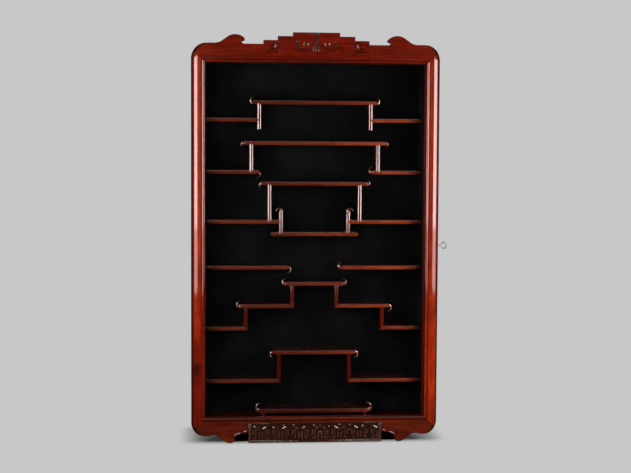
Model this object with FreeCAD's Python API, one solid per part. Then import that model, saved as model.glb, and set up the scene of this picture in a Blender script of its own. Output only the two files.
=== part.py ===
"""Shallow glazed display cabinet with a carved door frame and stepped shelves.

Front view is along +Y, Z is up. The origin is on the surface that the cabinet stands on,
at the middle of the plinth. All sizes are millimetres.
"""
import FreeCAD, Part
import math
import os

Vector = FreeCAD.Vector

# Door frame
sight_width = 490.0
sight_height = 785.0
stile_width = 30.0
door_thickness = 22.0
crest_height = 67.0
apron_depth = 56.7
door_floor_gap = 0.8
top_corner_radius = 34.0
bottom_corner_radius = 30.0
stile_round = 14.0
outline_round = 2.5
bead_width = 6.0
bead_drop = 1.0
bead_round = 2.0
quirk_width = 1.5
quirk_depth = 1.8

# Crest, as shares of the crest height above the opening and of half the door width
shoulder_rise_share = 0.634
hook_foot_rise_share = 0.612
step_rise_shares = (0.739, 0.873, 1.0)
step_reach_shares = (0.4236, 0.309, 0.1873)
hook_start_reach_share = 0.807
hook_peak_reach_share = 0.651
hook_tip_reach_share = 0.5727
hook_bite_reach_share = 0.598
hook_foot_reach_share = 0.5815
hook_waist_reach_share = 0.7273
hook_waist_rise_share = 0.788
hook_peak_rise_share = 0.912
hook_tip_rise_share = 0.742
hook_bite_rise_share = 0.679

# Apron, as shares of the apron depth below the opening and of half the door width
apron_shoulder_drop_share = 0.72
apron_swell_drop_share = 0.667
foot_slope_drop_share = 0.935
foot_heel_drop_share = 0.975
foot_root_drop_share = 0.714
apron_middle_drop_share = 0.6
apron_swell_reach_share = 0.8145
foot_slope_reach_share = 0.7273
foot_tip_reach_share = 0.6909
foot_heel_reach_share = 0.66
foot_root_reach_share = 0.6418
apron_middle_reach_share = 0.5455

# Plaque on the apron
plaque_width = 297.0
plaque_height = 43.5
plaque_lift = 2.5
plaque_board = 5.0
plaque_moulding_proud = 3.0
plaque_end_moulding = 11.0
plaque_foot_moulding = 5.0
plaque_top_moulding = 3.0

# Gap between a pane or panel and the sides of its rebate
panel_clearance = 0.5

# Glazing
rebate_width = 5.0
rebate_face = 8.0
glass_thickness = 3.0
glazing_bead_depth = 9.0

# Case behind the door
door_gap = 0.5
case_depth = 80.0
case_wall = 16.0
case_side_inset = 2.0
case_floor_drop = 5.0
case_ceiling_rise = 7.5
back_thickness = 6.0
back_rebate = 8.0
velvet_thickness = 1.0

# Plinth under the case
plinth_width = 366.0
plinth_inset = 2.0
plinth_board = 14.0

# Shelves and posts
shelf_thickness = 9.5
shelf_setback = 13.5
post_width = 9.0
bridge_post_drop = 16.0
hook_post_rise = 32.5
tray_foot_height = 7.4
tray_foot_width = 9.0

# Shelf levels, as shares of the opening's height
top_bridge_level_share = 0.8917
first_side_level_share = 0.842
upper_level_share = 0.7767
second_side_level_share = 0.6946
middle_level_share = 0.6618
third_side_level_share = 0.5532
hanging_level_share = 0.5183
fourth_side_level_share = 0.4223
lower_level_share = 0.3759
step_level_share = 0.312
fifth_side_level_share = 0.248
bottom_level_share = 0.1783
sixth_side_level_share = 0.0966

# Shelf ends and post centres, as shares of half the clear width
top_bridge_reach_share = 0.6054
top_bridge_post_share = 0.5157
upper_reach_share = 0.6851
upper_post_share = 0.5868
second_side_reach_share = 0.4946
middle_reach_share = 0.5174
middle_post_share = 0.4186
hooked_post_share = 0.312
hanging_reach_share = 0.4087
fourth_side_reach_share = 0.2128
lower_reach_share = 0.305
lower_post_share = 0.2054
step_reach_share = 0.7289
step_post_share = 0.6343
bottom_reach_share = 0.4178
bottom_post_share = 0.3269
tray_reach_share = 0.5496
tray_foot_share = 0.475

# Scroll ends: the radius is a share of the board's thickness, the rest are shares of the radius
scroll_share = 0.9
tray_scroll_share = 1.3
scroll_tip_share = 0.14
scroll_waist_share = 0.36
scroll_root_share = 1.2
scroll_tip_angle = 100.0
scroll_waist_angle = 20.0
small_scroll_share = 0.74
small_scroll_waist_share = 0.5
small_scroll_tip_angle = 70.0
small_scroll_waist_angle = 35.0

# Hinges
hinge_height_shares = (0.16, 0.84)
hinge_length = 60.0
hinge_knuckles = 3
hinge_barrel_radius = 3.0
hinge_pin_radius = 1.25
hinge_pin_clearance = 0.05
hinge_leaf_thickness = 1.2
hinge_leaf_width = 16.0
hinge_leaf_edge = 1.0
hinge_seat_clearance = 0.3
hinge_knuckle_gap = 0.3
hinge_leaf_gap = 0.5

# Screws
screw_head_radius = 1.9
screw_head_height = 0.7
screw_shank_radius = 1.0
screw_length = 9.0
screw_clearance = 0.05
screw_slot_width = 0.6
screw_slot_depth = 0.3
hinge_screw_inset = 9.0

# Lock in the right side of the case, and its key
lock_height_share = 0.4866
lock_skin = 3.0
lock_plate = 1.0
lock_case_depth = 23.0
lock_case_up = 19.0
lock_case_down = 13.5
lock_pocket_clearance = 0.2
lock_face_thickness = 1.5
lock_face_margin = 8.0
lock_face_screw_inset = 3.8
key_depth = 15.5
bolt_thickness = 1.9
bolt_clearance = 0.1
bolt_horn_width = 7.0
bolt_body_width = 11.0
bolt_top = 8.5
bolt_lip = 1.4
talon_bottom = 8.2
talon_top = 0.2
staple_leg = 1.0
staple_width = 4.4
staple_length = 11.5
staple_bridge = 1.5
staple_bottom = 10.5
staple_height = 5.0
staple_edge_gap = 0.4
staple_slot_clearance = 0.4
link_plate_thickness = 1.2
link_plate_width = 10.0
link_plate_margin = 12.0
link_screw_inset = 7.0
escutcheon_width = 14.0
escutcheon_height = 24.0
escutcheon_thickness = 1.0
keyhole_clearance = 0.4
key_shank_radius = 1.6
key_bit_length = 6.0
key_bit_width = 5.5
key_bit_thickness = 2.0
key_bit_setback = 1.2
key_collar_radius = 2.8
key_collar_width = 2.0
key_collar_gap = 0.4
key_reach = 33.7
key_bow_radius = 5.5
key_bow_wire = 0.85
key_bow_straight = 2.6

# Hanger plates at the back
hanger_spacing = 300.0
hanger_width = 22.0
hanger_height = 42.0
hanger_thickness = 2.0
hanger_rise = 20.0
hanger_hole_radius = 3.0
hanger_hole_inset = 9.0
hanger_screw_inset = 6.0
hanger_screw_spacing = 9.0

# Cutting tools run this far past what they cut; places closer than the tolerance are the same
overrun = 1.0
tolerance = 0.001

# Places that follow from the sizes above
half_sight = sight_width / 2
half_door = half_sight + stile_width
sight_bottom = door_floor_gap + apron_depth
sight_top = sight_bottom + sight_height
case_front = -case_depth / 2
case_back = case_depth / 2
door_back = case_front - door_gap
door_front = door_back - door_thickness
half_case_inner = half_sight - case_side_inset
half_case_outer = half_case_inner + case_wall
half_clear = half_case_inner - velvet_thickness
case_floor = sight_bottom - case_floor_drop
case_ceiling = sight_top + case_ceiling_rise
lining_back = case_back - back_thickness
shelf_back = lining_back - velvet_thickness
shelf_front = case_front + shelf_setback
half_shelf = shelf_thickness / 2
half_post = post_width / 2


def box(x0, x1, y0, y1, z0, z1):
    """Box between two corners."""
    return Part.makeBox(x1 - x0, y1 - y0, z1 - z0, Vector(x0, y0, z0))


def polar(centre, radius, angle):
    """Point at an angle in degrees round a centre."""
    turn = math.radians(angle)
    return (centre[0] + radius * math.cos(turn), centre[1] + radius * math.sin(turn))


def arc_between(centre, radius, first, last):
    """Arc segment from one angle to another."""
    return tuple(polar(centre, radius, angle) for angle in (first, (first + last) / 2, last))


def angle_of(centre, point):
    """Angle in degrees of a point seen from a centre."""
    return math.degrees(math.atan2(point[1] - centre[1], point[0] - centre[0]))


def turned_back(segments):
    """The same path walked the other way."""
    return [tuple(reversed(segment)) for segment in reversed(segments)]


def mirrored(segments):
    """The path mirrored from right to left, walked so that it keeps its sense."""
    return turned_back([tuple((-x, z) for x, z in segment) for segment in segments])


def polygon(points):
    """Closed path of straight lines through the points."""
    return [(a, b) for a, b in zip(points, points[1:] + points[:1])]


def plate(segments, front, back):
    """Solid between two depths; its outline is a closed path of lines and arcs."""
    edges = []
    for segment in segments:
        points = [Vector(x, front, z) for x, z in segment]
        curve = Part.LineSegment(*points) if len(points) == 2 else Part.Arc(*points)
        edges.append(curve.toShape())
    return Part.Face(Part.Wire(edges)).extrude(Vector(0, back - front, 0))


def rounded(shape, radius, wanted):
    """Shape with a fillet on the edges that the test picks."""
    return shape.makeFillet(radius, [edge for edge in shape.Edges if wanted(edge)])


def is_near(a, b):
    """Two places are the same but for rounding errors."""
    return abs(a - b) < tolerance


def edge_middle(edge):
    """Point half way along an edge."""
    return edge.valueAt((edge.FirstParameter + edge.LastParameter) / 2)


def group(shapes):
    """Separate solids that share one node."""
    return Part.makeCompound(shapes)


# Shelf ends. Each path runs from the board's lower face to its upper face;
# u counts outwards from the end of the board and v up from its middle.

def square_end(thickness):
    """End cut straight across."""
    return [((0, -thickness / 2), (0, thickness / 2))]


def round_end(thickness):
    """Half-round end."""
    half = thickness / 2
    return [((-half, -half), (0, 0), (-half, half))]


def mitred_end(thickness, width):
    """End cut aslant, with its long side below, to meet the foot of a post."""
    return [((0, -thickness / 2), (-width, thickness / 2))]


def curl(thickness, radius, tip_angle, waist_share, waist_angle):
    """End that curls up round a circle to a thin tip, and hollows out behind it."""
    half = thickness / 2
    centre = (-radius, radius - half)
    outside = arc_between(centre, radius, -90, tip_angle)
    inner_tip = polar(centre, radius * (1 - scroll_tip_share), tip_angle)
    waist = polar(centre, radius * (1 - waist_share), waist_angle)
    root = (-radius * scroll_root_share, half)
    return [outside, (outside[-1], inner_tip), (inner_tip, waist, root)]


def rising_scroll(thickness, share):
    """End that curls up."""
    return curl(thickness, thickness * share, scroll_tip_angle,
                scroll_waist_share, scroll_waist_angle)


def small_rising_scroll(thickness):
    """End that curls up a little."""
    return curl(thickness, thickness * small_scroll_share, small_scroll_tip_angle,
                small_scroll_waist_share, small_scroll_waist_angle)


def falling(end):
    """The end turned upside down."""
    return turned_back([tuple((u, -v) for u, v in segment) for segment in end])


def board_outline(left, right, level, left_end, right_end):
    """Closed outline of a level board with its two end shapes."""
    right_side = [tuple((right + u, level + v) for u, v in s) for s in right_end]
    left_side = turned_back([tuple((left - u, level + v) for u, v in s) for s in left_end])
    lower = (left_side[-1][-1], right_side[0][0])
    upper = (right_side[-1][-1], left_side[0][0])
    return [lower] + right_side + [upper] + left_side


def level_of(share):
    """Height of a shelf's middle."""
    return sight_bottom + sight_height * share


def reach_of(share):
    """Distance of a shelf's end or a post's centre from the middle of the cabinet."""
    return half_clear * share


def shelf(left, right, share, left_end, right_end):
    """Shelf board with its front and back in the shelves' common planes."""
    return plate(board_outline(left, right, level_of(share), left_end, right_end),
                 shelf_front, shelf_back)


def upright(centre, bottom, top):
    """Plain post."""
    return box(centre - half_post, centre + half_post, shelf_front, shelf_back, bottom, top)


def mitred_post(side, centre, foot_share, top):
    """Post whose foot is mitred to the shelf that runs outwards from it."""
    low = level_of(foot_share) - half_shelf
    high = level_of(foot_share) + half_shelf
    outer = centre + half_post
    inner = centre - half_post
    points = [(inner, low), (outer, high), (outer, top), (inner, top)]
    segments = polygon([(side * x, z) for x, z in points])
    return plate(segments, shelf_front, shelf_back)


def hooked_post(side):
    """Post that stands on the hanging shelf and curls outwards at its top."""
    bottom = level_of(hanging_level_share) + half_shelf
    top = level_of(third_side_level_share) + hook_post_rise
    outline = board_outline(bottom, top, 0, square_end(post_width),
                            rising_scroll(post_width, scroll_share))
    centre = reach_of(hooked_post_share)
    turned = [tuple((side * (centre + v), u) for u, v in s) for s in outline]
    return plate(turned, shelf_front, shelf_back)


def sides():
    """The two halves of the cabinet, left and right, with their signs."""
    return (("left", -1), ("right", 1))


def side_shelf(side, inner, share, end):
    """Shelf from a side wall towards the middle."""
    wall = square_end(shelf_thickness)
    if side < 0:
        return shelf(-half_clear, -inner, share, wall, end)
    return shelf(inner, half_clear, share, end, wall)


def centre_shelf(reach_share, share, left_end, right_end):
    """Shelf that is centred in the case."""
    reach = reach_of(reach_share)
    return shelf(-reach, reach, share, left_end, right_end)


def shelves():
    """All shelf boards."""
    up = rising_scroll(shelf_thickness, scroll_share)
    down = falling(up)
    small_up = small_rising_scroll(shelf_thickness)
    small_down = falling(small_up)
    tray_up = rising_scroll(shelf_thickness, tray_scroll_share)
    flat = square_end(shelf_thickness)
    nose = round_end(shelf_thickness)
    mitre = mitred_end(shelf_thickness, post_width)
    parts = {
        "top_bridge_shelf": centre_shelf(top_bridge_reach_share, top_bridge_level_share, up, up),
        "upper_centre_shelf": centre_shelf(upper_reach_share, upper_level_share,
                                           small_down, small_down),
        "middle_centre_shelf": centre_shelf(middle_reach_share, middle_level_share,
                                            small_down, small_up),
        "hanging_centre_shelf": centre_shelf(hanging_reach_share, hanging_level_share, nose, nose),
        "lower_centre_shelf": centre_shelf(lower_reach_share, lower_level_share, up, up),
        "bottom_centre_shelf": centre_shelf(bottom_reach_share, bottom_level_share, down, down),
    }
    for name, side in sides():
        first_end = reach_of(top_bridge_post_share) + half_post
        second_end = reach_of(second_side_reach_share)
        third_end = reach_of(hooked_post_share) + half_post
        fourth_end = reach_of(fourth_side_reach_share)
        scroll = down if side < 0 else up
        parts["first_side_shelf_" + name] = side_shelf(side, first_end, first_side_level_share, flat)
        parts["second_side_shelf_" + name] = side_shelf(side, second_end, second_side_level_share, scroll)
        parts["third_side_shelf_" + name] = side_shelf(side, third_end, third_side_level_share, flat)
        parts["fourth_side_shelf_" + name] = side_shelf(side, fourth_end, fourth_side_level_share, scroll)
        for tier, post_share, share in (("fifth", step_post_share, fifth_side_level_share),
                                        ("sixth", bottom_post_share, sixth_side_level_share)):
            corner = reach_of(post_share) - half_post
            parts[tier + "_side_shelf_" + name] = side_shelf(side, corner, share, mitre)
    step_inner = reach_of(lower_post_share) - half_post
    step_outer = reach_of(step_reach_share)
    parts["step_shelf_left"] = shelf(-step_outer, -step_inner, step_level_share, up, mitre)
    parts["step_shelf_right"] = shelf(step_inner, step_outer, step_level_share, mitre, down)
    reach = reach_of(tray_reach_share)
    tray_level = case_floor + tray_foot_height + half_shelf
    parts["floor_tray"] = plate(board_outline(-reach, reach, tray_level, tray_up, tray_up),
                                shelf_front, shelf_back)
    return parts


def posts():
    """Uprights between the shelves, and the feet of the tray."""
    parts = {}
    bridge_centre = reach_of(top_bridge_post_share)
    bridge_top = level_of(top_bridge_level_share) - half_shelf
    bridge_bottom = level_of(first_side_level_share) - half_shelf - bridge_post_drop
    parts["top_bridge_posts"] = group([upright(side * bridge_centre, bridge_bottom, bridge_top)
                                       for name, side in sides()])
    for name, side in sides():
        parts["upper_centre_post_" + name] = upright(
            side * reach_of(upper_post_share),
            level_of(second_side_level_share) + half_shelf,
            level_of(upper_level_share) - half_shelf)
        parts["middle_centre_post_" + name] = upright(
            side * reach_of(middle_post_share),
            level_of(third_side_level_share) + half_shelf,
            level_of(middle_level_share) - half_shelf)
        parts["hooked_post_" + name] = hooked_post(side)
        parts["lower_centre_post_" + name] = mitred_post(
            side, reach_of(lower_post_share), step_level_share,
            level_of(lower_level_share) - half_shelf)
        parts["step_post_" + name] = mitred_post(
            side, reach_of(step_post_share), fifth_side_level_share,
            level_of(step_level_share) - half_shelf)
        parts["bottom_centre_post_" + name] = mitred_post(
            side, reach_of(bottom_post_share), sixth_side_level_share,
            level_of(bottom_level_share) - half_shelf)
    half_foot = tray_foot_width / 2
    feet = []
    for name, side in sides():
        centre = side * reach_of(tray_foot_share)
        feet.append(box(centre - half_foot, centre + half_foot, shelf_front, shelf_back,
                        case_floor, case_floor + tray_foot_height))
    parts["floor_tray_feet"] = group(feet)
    return parts


# Door frame

top_corner_centre = (half_door - top_corner_radius,
                     sight_top + crest_height * shoulder_rise_share - top_corner_radius)
bottom_corner_centre = (half_door - bottom_corner_radius,
                        sight_bottom - apron_depth * apron_shoulder_drop_share + bottom_corner_radius)


def mitre_angle(corner, centre, radius, rise):
    """Angle on a corner's arc where a mitre at 45 degrees from the opening's corner meets it."""
    dx = corner[0] - centre[0]
    dz = corner[1] - centre[1]
    along = dx + rise * dz
    run = -along / 2 + math.sqrt(along * along / 4 - (dx * dx + dz * dz - radius * radius) / 2)
    return angle_of(centre, (corner[0] + run, corner[1] + rise * run))


top_mitre = mitre_angle((half_sight, sight_top), top_corner_centre, top_corner_radius, 1)
bottom_mitre = mitre_angle((half_sight, sight_bottom), bottom_corner_centre,
                           bottom_corner_radius, -1)


def crest_point(reach_share, rise_share):
    """Point of the crest's outline."""
    return (half_door * reach_share, sight_top + crest_height * rise_share)


def apron_point(reach_share, drop_share):
    """Point of the apron's outline."""
    return (half_door * reach_share, sight_bottom - apron_depth * drop_share)


def level_start_arc(start, end):
    """Arc that leaves the start point level and ends at the end point."""
    dx = end[0] - start[0]
    dz = end[1] - start[1]
    radius = (dx * dx + dz * dz) / (2 * dz)
    centre = (start[0], start[1] + radius)
    first = angle_of(centre, start)
    last = angle_of(centre, end)
    return (start, polar(centre, abs(radius), (first + last) / 2), end)


def crest_path():
    """Right half of the crest, from the mitre on the corner to the middle."""
    shoulder_start = (top_corner_centre[0], top_corner_centre[1] + top_corner_radius)
    hook_start = crest_point(hook_start_reach_share, shoulder_rise_share)
    waist = crest_point(hook_waist_reach_share, hook_waist_rise_share)
    peak = crest_point(hook_peak_reach_share, hook_peak_rise_share)
    tip = crest_point(hook_tip_reach_share, hook_tip_rise_share)
    bite = crest_point(hook_bite_reach_share, hook_bite_rise_share)
    foot = crest_point(hook_foot_reach_share, hook_foot_rise_share)
    path = [arc_between(top_corner_centre, top_corner_radius, top_mitre, 90),
            (shoulder_start, hook_start),
            level_start_arc(hook_start, waist),
            (waist, peak, tip),
            (tip, bite, foot)]
    last = foot
    rise = hook_foot_rise_share
    for reach_share, rise_share in zip(step_reach_shares, step_rise_shares):
        inner = crest_point(reach_share, rise)
        outer = crest_point(reach_share, rise_share)
        path += [(last, inner), (inner, outer)]
        last = outer
        rise = rise_share
    return path


def apron_path():
    """Right half of the apron's lower edge, from the middle to the mitre on the corner."""
    middle = apron_point(apron_middle_reach_share, apron_middle_drop_share)
    root = apron_point(foot_root_reach_share, foot_root_drop_share)
    heel = apron_point(foot_heel_reach_share, foot_heel_drop_share)
    tip = apron_point(foot_tip_reach_share, 1)
    slope = apron_point(foot_slope_reach_share, foot_slope_drop_share)
    swell = apron_point(apron_swell_reach_share, apron_swell_drop_share)
    shoulder = (bottom_corner_centre[0], bottom_corner_centre[1] - bottom_corner_radius)
    return [(middle, root), (root, heel), (heel, tip, slope), (slope, swell),
            turned_back([level_start_arc(shoulder, swell)])[0],
            arc_between(bottom_corner_centre, bottom_corner_radius, -90, bottom_mitre)]


def moulded(shape):
    """Frame member with the glass rebate, the quirk and the bead round the opening."""
    back_cut = box(-half_sight - rebate_width, half_sight + rebate_width,
                   door_front + rebate_face, door_back + overrun,
                   sight_bottom - rebate_width, sight_top + rebate_width)
    outer = bead_width + quirk_width
    quirk = box(-half_sight - outer, half_sight + outer, door_front - overrun,
                door_front + quirk_depth, sight_bottom - outer, sight_top + outer)
    quirk = quirk.cut(box(-half_sight - bead_width, half_sight + bead_width,
                          door_front - overrun, door_front + quirk_depth,
                          sight_bottom - bead_width, sight_top + bead_width))
    bead_top = box(-half_sight - bead_width, half_sight + bead_width,
                   door_front - overrun, door_front + bead_drop,
                   sight_bottom - bead_width, sight_top + bead_width)
    shape = shape.cut(back_cut).cut(quirk).cut(bead_top)

    def on_bead(edge):
        middle = edge_middle(edge)
        at_side = is_near(abs(middle.x), half_sight)
        at_end = is_near(middle.z, sight_top) or is_near(middle.z, sight_bottom)
        return is_near(middle.y, door_front + bead_drop) and (at_side or at_end)
    return rounded(shape, bead_round, on_bead)


def stile(side):
    """Upright member of the door frame, mitred at both ends."""
    top_end = polar(top_corner_centre, top_corner_radius, top_mitre)
    low_end = polar(bottom_corner_centre, bottom_corner_radius, bottom_mitre)
    segments = [((half_sight, sight_top), (half_sight, sight_bottom)),
                ((half_sight, sight_bottom), low_end),
                arc_between(bottom_corner_centre, bottom_corner_radius, bottom_mitre, 0),
                ((half_door, bottom_corner_centre[1]), (half_door, top_corner_centre[1])),
                arc_between(top_corner_centre, top_corner_radius, 0, top_mitre),
                (top_end, (half_sight, sight_top))]
    if side < 0:
        segments = mirrored(segments)
    shape = plate(segments, door_front, door_back)

    def on_outside(edge):
        middle = edge_middle(edge)
        return is_near(middle.y, door_front) and is_near(abs(middle.x), half_door)
    return moulded(rounded(shape, stile_round, on_outside))


def top_rail():
    """Top member with the stepped crest and its two hooks."""
    right = crest_path()
    left = mirrored(right)
    top_end = right[-1][-1]
    mitre_end = right[0][0]
    inner = (half_sight, sight_top)
    segments = [((-half_sight, sight_top), inner), (inner, mitre_end)] + right
    segments += [(top_end, (-top_end[0], top_end[1]))] + left
    segments += [((-mitre_end[0], mitre_end[1]), (-half_sight, sight_top))]
    shape = plate(segments, door_front, door_back)

    def on_shoulder(edge):
        middle = edge_middle(edge)
        beyond = abs(middle.x) > half_door * hook_start_reach_share
        return is_near(middle.y, door_front) and beyond and edge.Curve.TypeId == "Part::GeomCircle"
    return moulded(rounded(shape, outline_round, on_shoulder))


def bottom_rail():
    """Bottom member with the apron and its two feet."""
    right = apron_path()
    left = mirrored(right)
    middle = right[0][0]
    mitre_end = right[-1][-1]
    inner = (half_sight, sight_bottom)
    segments = [((-middle[0], middle[1]), middle)] + right
    segments += [(mitre_end, inner), (inner, (-half_sight, sight_bottom)),
                 ((-half_sight, sight_bottom), (-mitre_end[0], mitre_end[1]))] + left
    shape = plate(segments, door_front, door_back)

    def on_corner(edge):
        middle = edge_middle(edge)
        beyond = abs(middle.x) > bottom_corner_centre[0]
        return is_near(middle.y, door_front) and beyond and edge.Curve.TypeId == "Part::GeomCircle"
    return moulded(rounded(shape, outline_round, on_corner))


def plaque():
    """Plaque fixed to the face of the apron: a board with a raised border."""
    half = plaque_width / 2
    top = plaque_lift + plaque_height
    face = door_front - plaque_board
    front = face - plaque_moulding_proud
    board = box(-half, half, face, door_front, plaque_lift, top)
    border = box(-half, half, front, face, plaque_lift, top)
    field = box(-half + plaque_end_moulding, half - plaque_end_moulding, front - overrun, face,
                plaque_lift + plaque_foot_moulding, top - plaque_top_moulding)
    return board.fuse(border.cut(field)).removeSplitter()


def glass():
    """Glass pane in the rebate."""
    edge = rebate_width - panel_clearance
    front = door_front + rebate_face
    return box(-half_sight - edge, half_sight + edge, front, front + glass_thickness,
               sight_bottom - edge, sight_top + edge)


def glazing_beads():
    """Four mitred strips that hold the glass from behind."""
    front = door_front + rebate_face + glass_thickness
    back = front + glazing_bead_depth
    outer_x = half_sight + rebate_width
    outer_low = sight_bottom - rebate_width
    outer_high = sight_top + rebate_width
    strips = [
        [(-outer_x, outer_low), (outer_x, outer_low), (half_sight, sight_bottom),
         (-half_sight, sight_bottom)],
        [(outer_x, outer_low), (outer_x, outer_high), (half_sight, sight_top),
         (half_sight, sight_bottom)],
        [(outer_x, outer_high), (-outer_x, outer_high), (-half_sight, sight_top),
         (half_sight, sight_top)],
        [(-outer_x, outer_high), (-outer_x, outer_low), (-half_sight, sight_bottom),
         (-half_sight, sight_top)],
    ]
    return group([plate(polygon(points), front, back) for points in strips])


# Screws and the holes for them

def screw(place, way):
    """Slotted screw; place is the middle of its head's outer face, way points into the wood."""
    head = Part.makeCylinder(screw_head_radius, screw_head_height, place, way)
    shank = Part.makeCylinder(screw_shank_radius, screw_length, place, way)
    slot = Part.makeBox(2 * screw_head_radius, screw_slot_width, screw_slot_depth,
                        Vector(-screw_head_radius, -screw_slot_width / 2, 0))
    slot.Placement = FreeCAD.Placement(place, FreeCAD.Rotation(Vector(0, 0, 1), way))
    return head.fuse(shank).cut(slot)


def screw_hole(place, way):
    """Hole that clears one screw."""
    head = Part.makeCylinder(screw_head_radius + screw_clearance, screw_head_height, place, way)
    shank = Part.makeCylinder(screw_shank_radius + screw_clearance,
                              screw_length + screw_clearance, place, way)
    return head.fuse(shank)


# Hinges: the axis is beside the case and behind the door's left edge

hinge_x = -half_case_outer - hinge_seat_clearance - hinge_barrel_radius
hinge_y = door_back + hinge_seat_clearance + hinge_barrel_radius
hinge_levels = tuple(sight_bottom + sight_height * share for share in hinge_height_shares)
knuckle_length = (hinge_length - (hinge_knuckles - 1) * hinge_knuckle_gap) / hinge_knuckles
leaf_edge = hinge_barrel_radius + hinge_leaf_gap
door_leaf_tip = -half_door + hinge_leaf_edge
door_leaf_middle = (door_leaf_tip + hinge_x - leaf_edge) / 2
case_leaf_tip = hinge_y + leaf_edge + hinge_leaf_width
case_leaf_middle = (case_leaf_tip + hinge_y + leaf_edge) / 2
hinge_bore_radius = hinge_pin_radius + hinge_pin_clearance


def hinge_screw_levels(level):
    """Heights of a leaf's two screws."""
    offset = hinge_length / 2 - hinge_screw_inset
    return (level - offset, level + offset)


def knuckle_base(level, index):
    """Height at which one of a hinge's knuckles starts."""
    return level - hinge_length / 2 + index * (knuckle_length + hinge_knuckle_gap)


def door_leaf_screws():
    """Places and direction of the screws in the door's hinge leaves."""
    back = door_back + hinge_leaf_thickness
    return [(Vector(door_leaf_middle, back, z), Vector(0, -1, 0))
            for level in hinge_levels for z in hinge_screw_levels(level)]


def case_leaf_screws():
    """Places and direction of the screws in the case's hinge leaves."""
    side = -half_case_outer - hinge_leaf_thickness
    return [(Vector(side, case_leaf_middle, z), Vector(1, 0, 0))
            for level in hinge_levels for z in hinge_screw_levels(level)]


def with_knuckles(leaf, tongue_of, level, indices):
    """Leaf joined to its knuckles, with the pin's bore through them."""
    for index in indices:
        base = knuckle_base(level, index)
        barrel = Part.makeCylinder(hinge_barrel_radius, knuckle_length,
                                   Vector(hinge_x, hinge_y, base))
        leaf = leaf.fuse(tongue_of(base, base + knuckle_length)).fuse(barrel)
    bore = Part.makeCylinder(hinge_bore_radius, hinge_length + 2 * overrun,
                             Vector(hinge_x, hinge_y, level - hinge_length / 2 - overrun))
    return leaf.cut(bore)


def door_leaf(level):
    """Hinge leaf on the back of the door's overhang, with the odd knuckles."""
    back = door_back + hinge_leaf_thickness
    leaf = box(door_leaf_tip, hinge_x - leaf_edge, door_back, back,
               level - hinge_length / 2, level + hinge_length / 2)

    def tongue(low, high):
        return box(hinge_x - leaf_edge, hinge_x, door_back, back, low, high)
    return with_knuckles(leaf, tongue, level, range(1, hinge_knuckles, 2))


def case_leaf(level):
    """Hinge leaf on the outside of the case, with the even knuckles."""
    side = -half_case_outer - hinge_leaf_thickness
    leaf = box(side, -half_case_outer, hinge_y + leaf_edge, case_leaf_tip,
               level - hinge_length / 2, level + hinge_length / 2)

    def tongue(low, high):
        return box(side, -half_case_outer, hinge_y, hinge_y + leaf_edge, low, high)
    return with_knuckles(leaf, tongue, level, range(0, hinge_knuckles, 2))


def drilled(shape, screws):
    """Shape with a hole for each screw."""
    for place, way in screws:
        shape = shape.cut(screw_hole(place, way))
    return shape


def hinge_parts():
    """Leaves and pins of the two hinges."""
    pins = [Part.makeCylinder(hinge_pin_radius, hinge_length,
                              Vector(hinge_x, hinge_y, level - hinge_length / 2))
            for level in hinge_levels]
    door_leaves = group([door_leaf(level) for level in hinge_levels])
    case_leaves = group([case_leaf(level) for level in hinge_levels])
    return {
        "hinge_leaves_on_door": drilled(door_leaves, door_leaf_screws()),
        "hinge_leaves_on_case": drilled(case_leaves, case_leaf_screws()),
        "hinge_pins": group(pins),
    }


# Lock: the key turns about X and drives the bolt up through the door's staple

key_height = sight_bottom + sight_height * lock_height_share
key_y = case_front + key_depth
lock_inner = half_case_inner + lock_skin
lock_outer = half_case_outer - lock_skin
lock_back = case_front + lock_case_depth
lock_low = key_height - lock_case_down
lock_high = key_height + lock_case_up
lock_middle_x = (lock_inner + lock_outer) / 2
staple_inner = half_sight + rebate_width + staple_edge_gap
staple_outer = staple_inner + staple_width
staple_middle = (staple_inner + staple_outer) / 2
staple_low = key_height + staple_bottom
staple_high = staple_low + staple_height
staple_back = door_back + staple_length
link_outer = staple_inner + link_plate_width
link_middle = (staple_inner + link_outer) / 2
bolt_front = case_front + lock_face_thickness + bolt_clearance
bolt_horn_rear = bolt_front + bolt_horn_width
bolt_inner = staple_middle - bolt_thickness / 2
bolt_outer = staple_middle + bolt_thickness / 2
face_low = lock_low - lock_face_margin
face_high = lock_high + lock_face_margin
link_low = staple_low - link_plate_margin
link_high = staple_high + link_plate_margin


def lock_face_screws():
    """Screws through the lock's front plate."""
    levels = (face_low + lock_face_screw_inset, face_high - lock_face_screw_inset)
    return [(Vector(lock_middle_x, case_front, z), Vector(0, 1, 0)) for z in levels]


def link_screws():
    """Screws through the link plate on the door."""
    levels = (link_low + link_screw_inset, link_high - link_screw_inset)
    return [(Vector(link_middle, door_back, z), Vector(0, -1, 0)) for z in levels]


def keyhole(first, last):
    """Keyhole cutter between two places on X: a round hole with the bit's slot below it."""
    start = Vector(first, key_y, key_height)
    hole = Part.makeCylinder(key_shank_radius + keyhole_clearance, last - first, start,
                             Vector(1, 0, 0))
    half = key_bit_thickness / 2 + keyhole_clearance
    slot = box(first, last, key_y - half, key_y + half,
               key_height - key_bit_length - keyhole_clearance, key_height)
    return hole.fuse(slot)


def staple_slot():
    """Cutter for the staple's way through the lock's front plate."""
    gap = staple_slot_clearance
    return box(staple_inner - gap, staple_outer + gap, case_front - overrun,
               case_front + lock_face_thickness + overrun, staple_low - gap, staple_high + gap)


def bolt_guides():
    """Two blocks in the lock that the bolt slides between."""
    front = case_front + lock_face_thickness
    low = lock_low + lock_plate
    high = staple_low - staple_slot_clearance
    return [box(lock_inner + lock_plate, bolt_inner - bolt_clearance,
                front, bolt_horn_rear, low, high),
            box(bolt_outer + bolt_clearance, lock_outer - lock_plate,
                front, bolt_horn_rear, low, high)]


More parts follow.
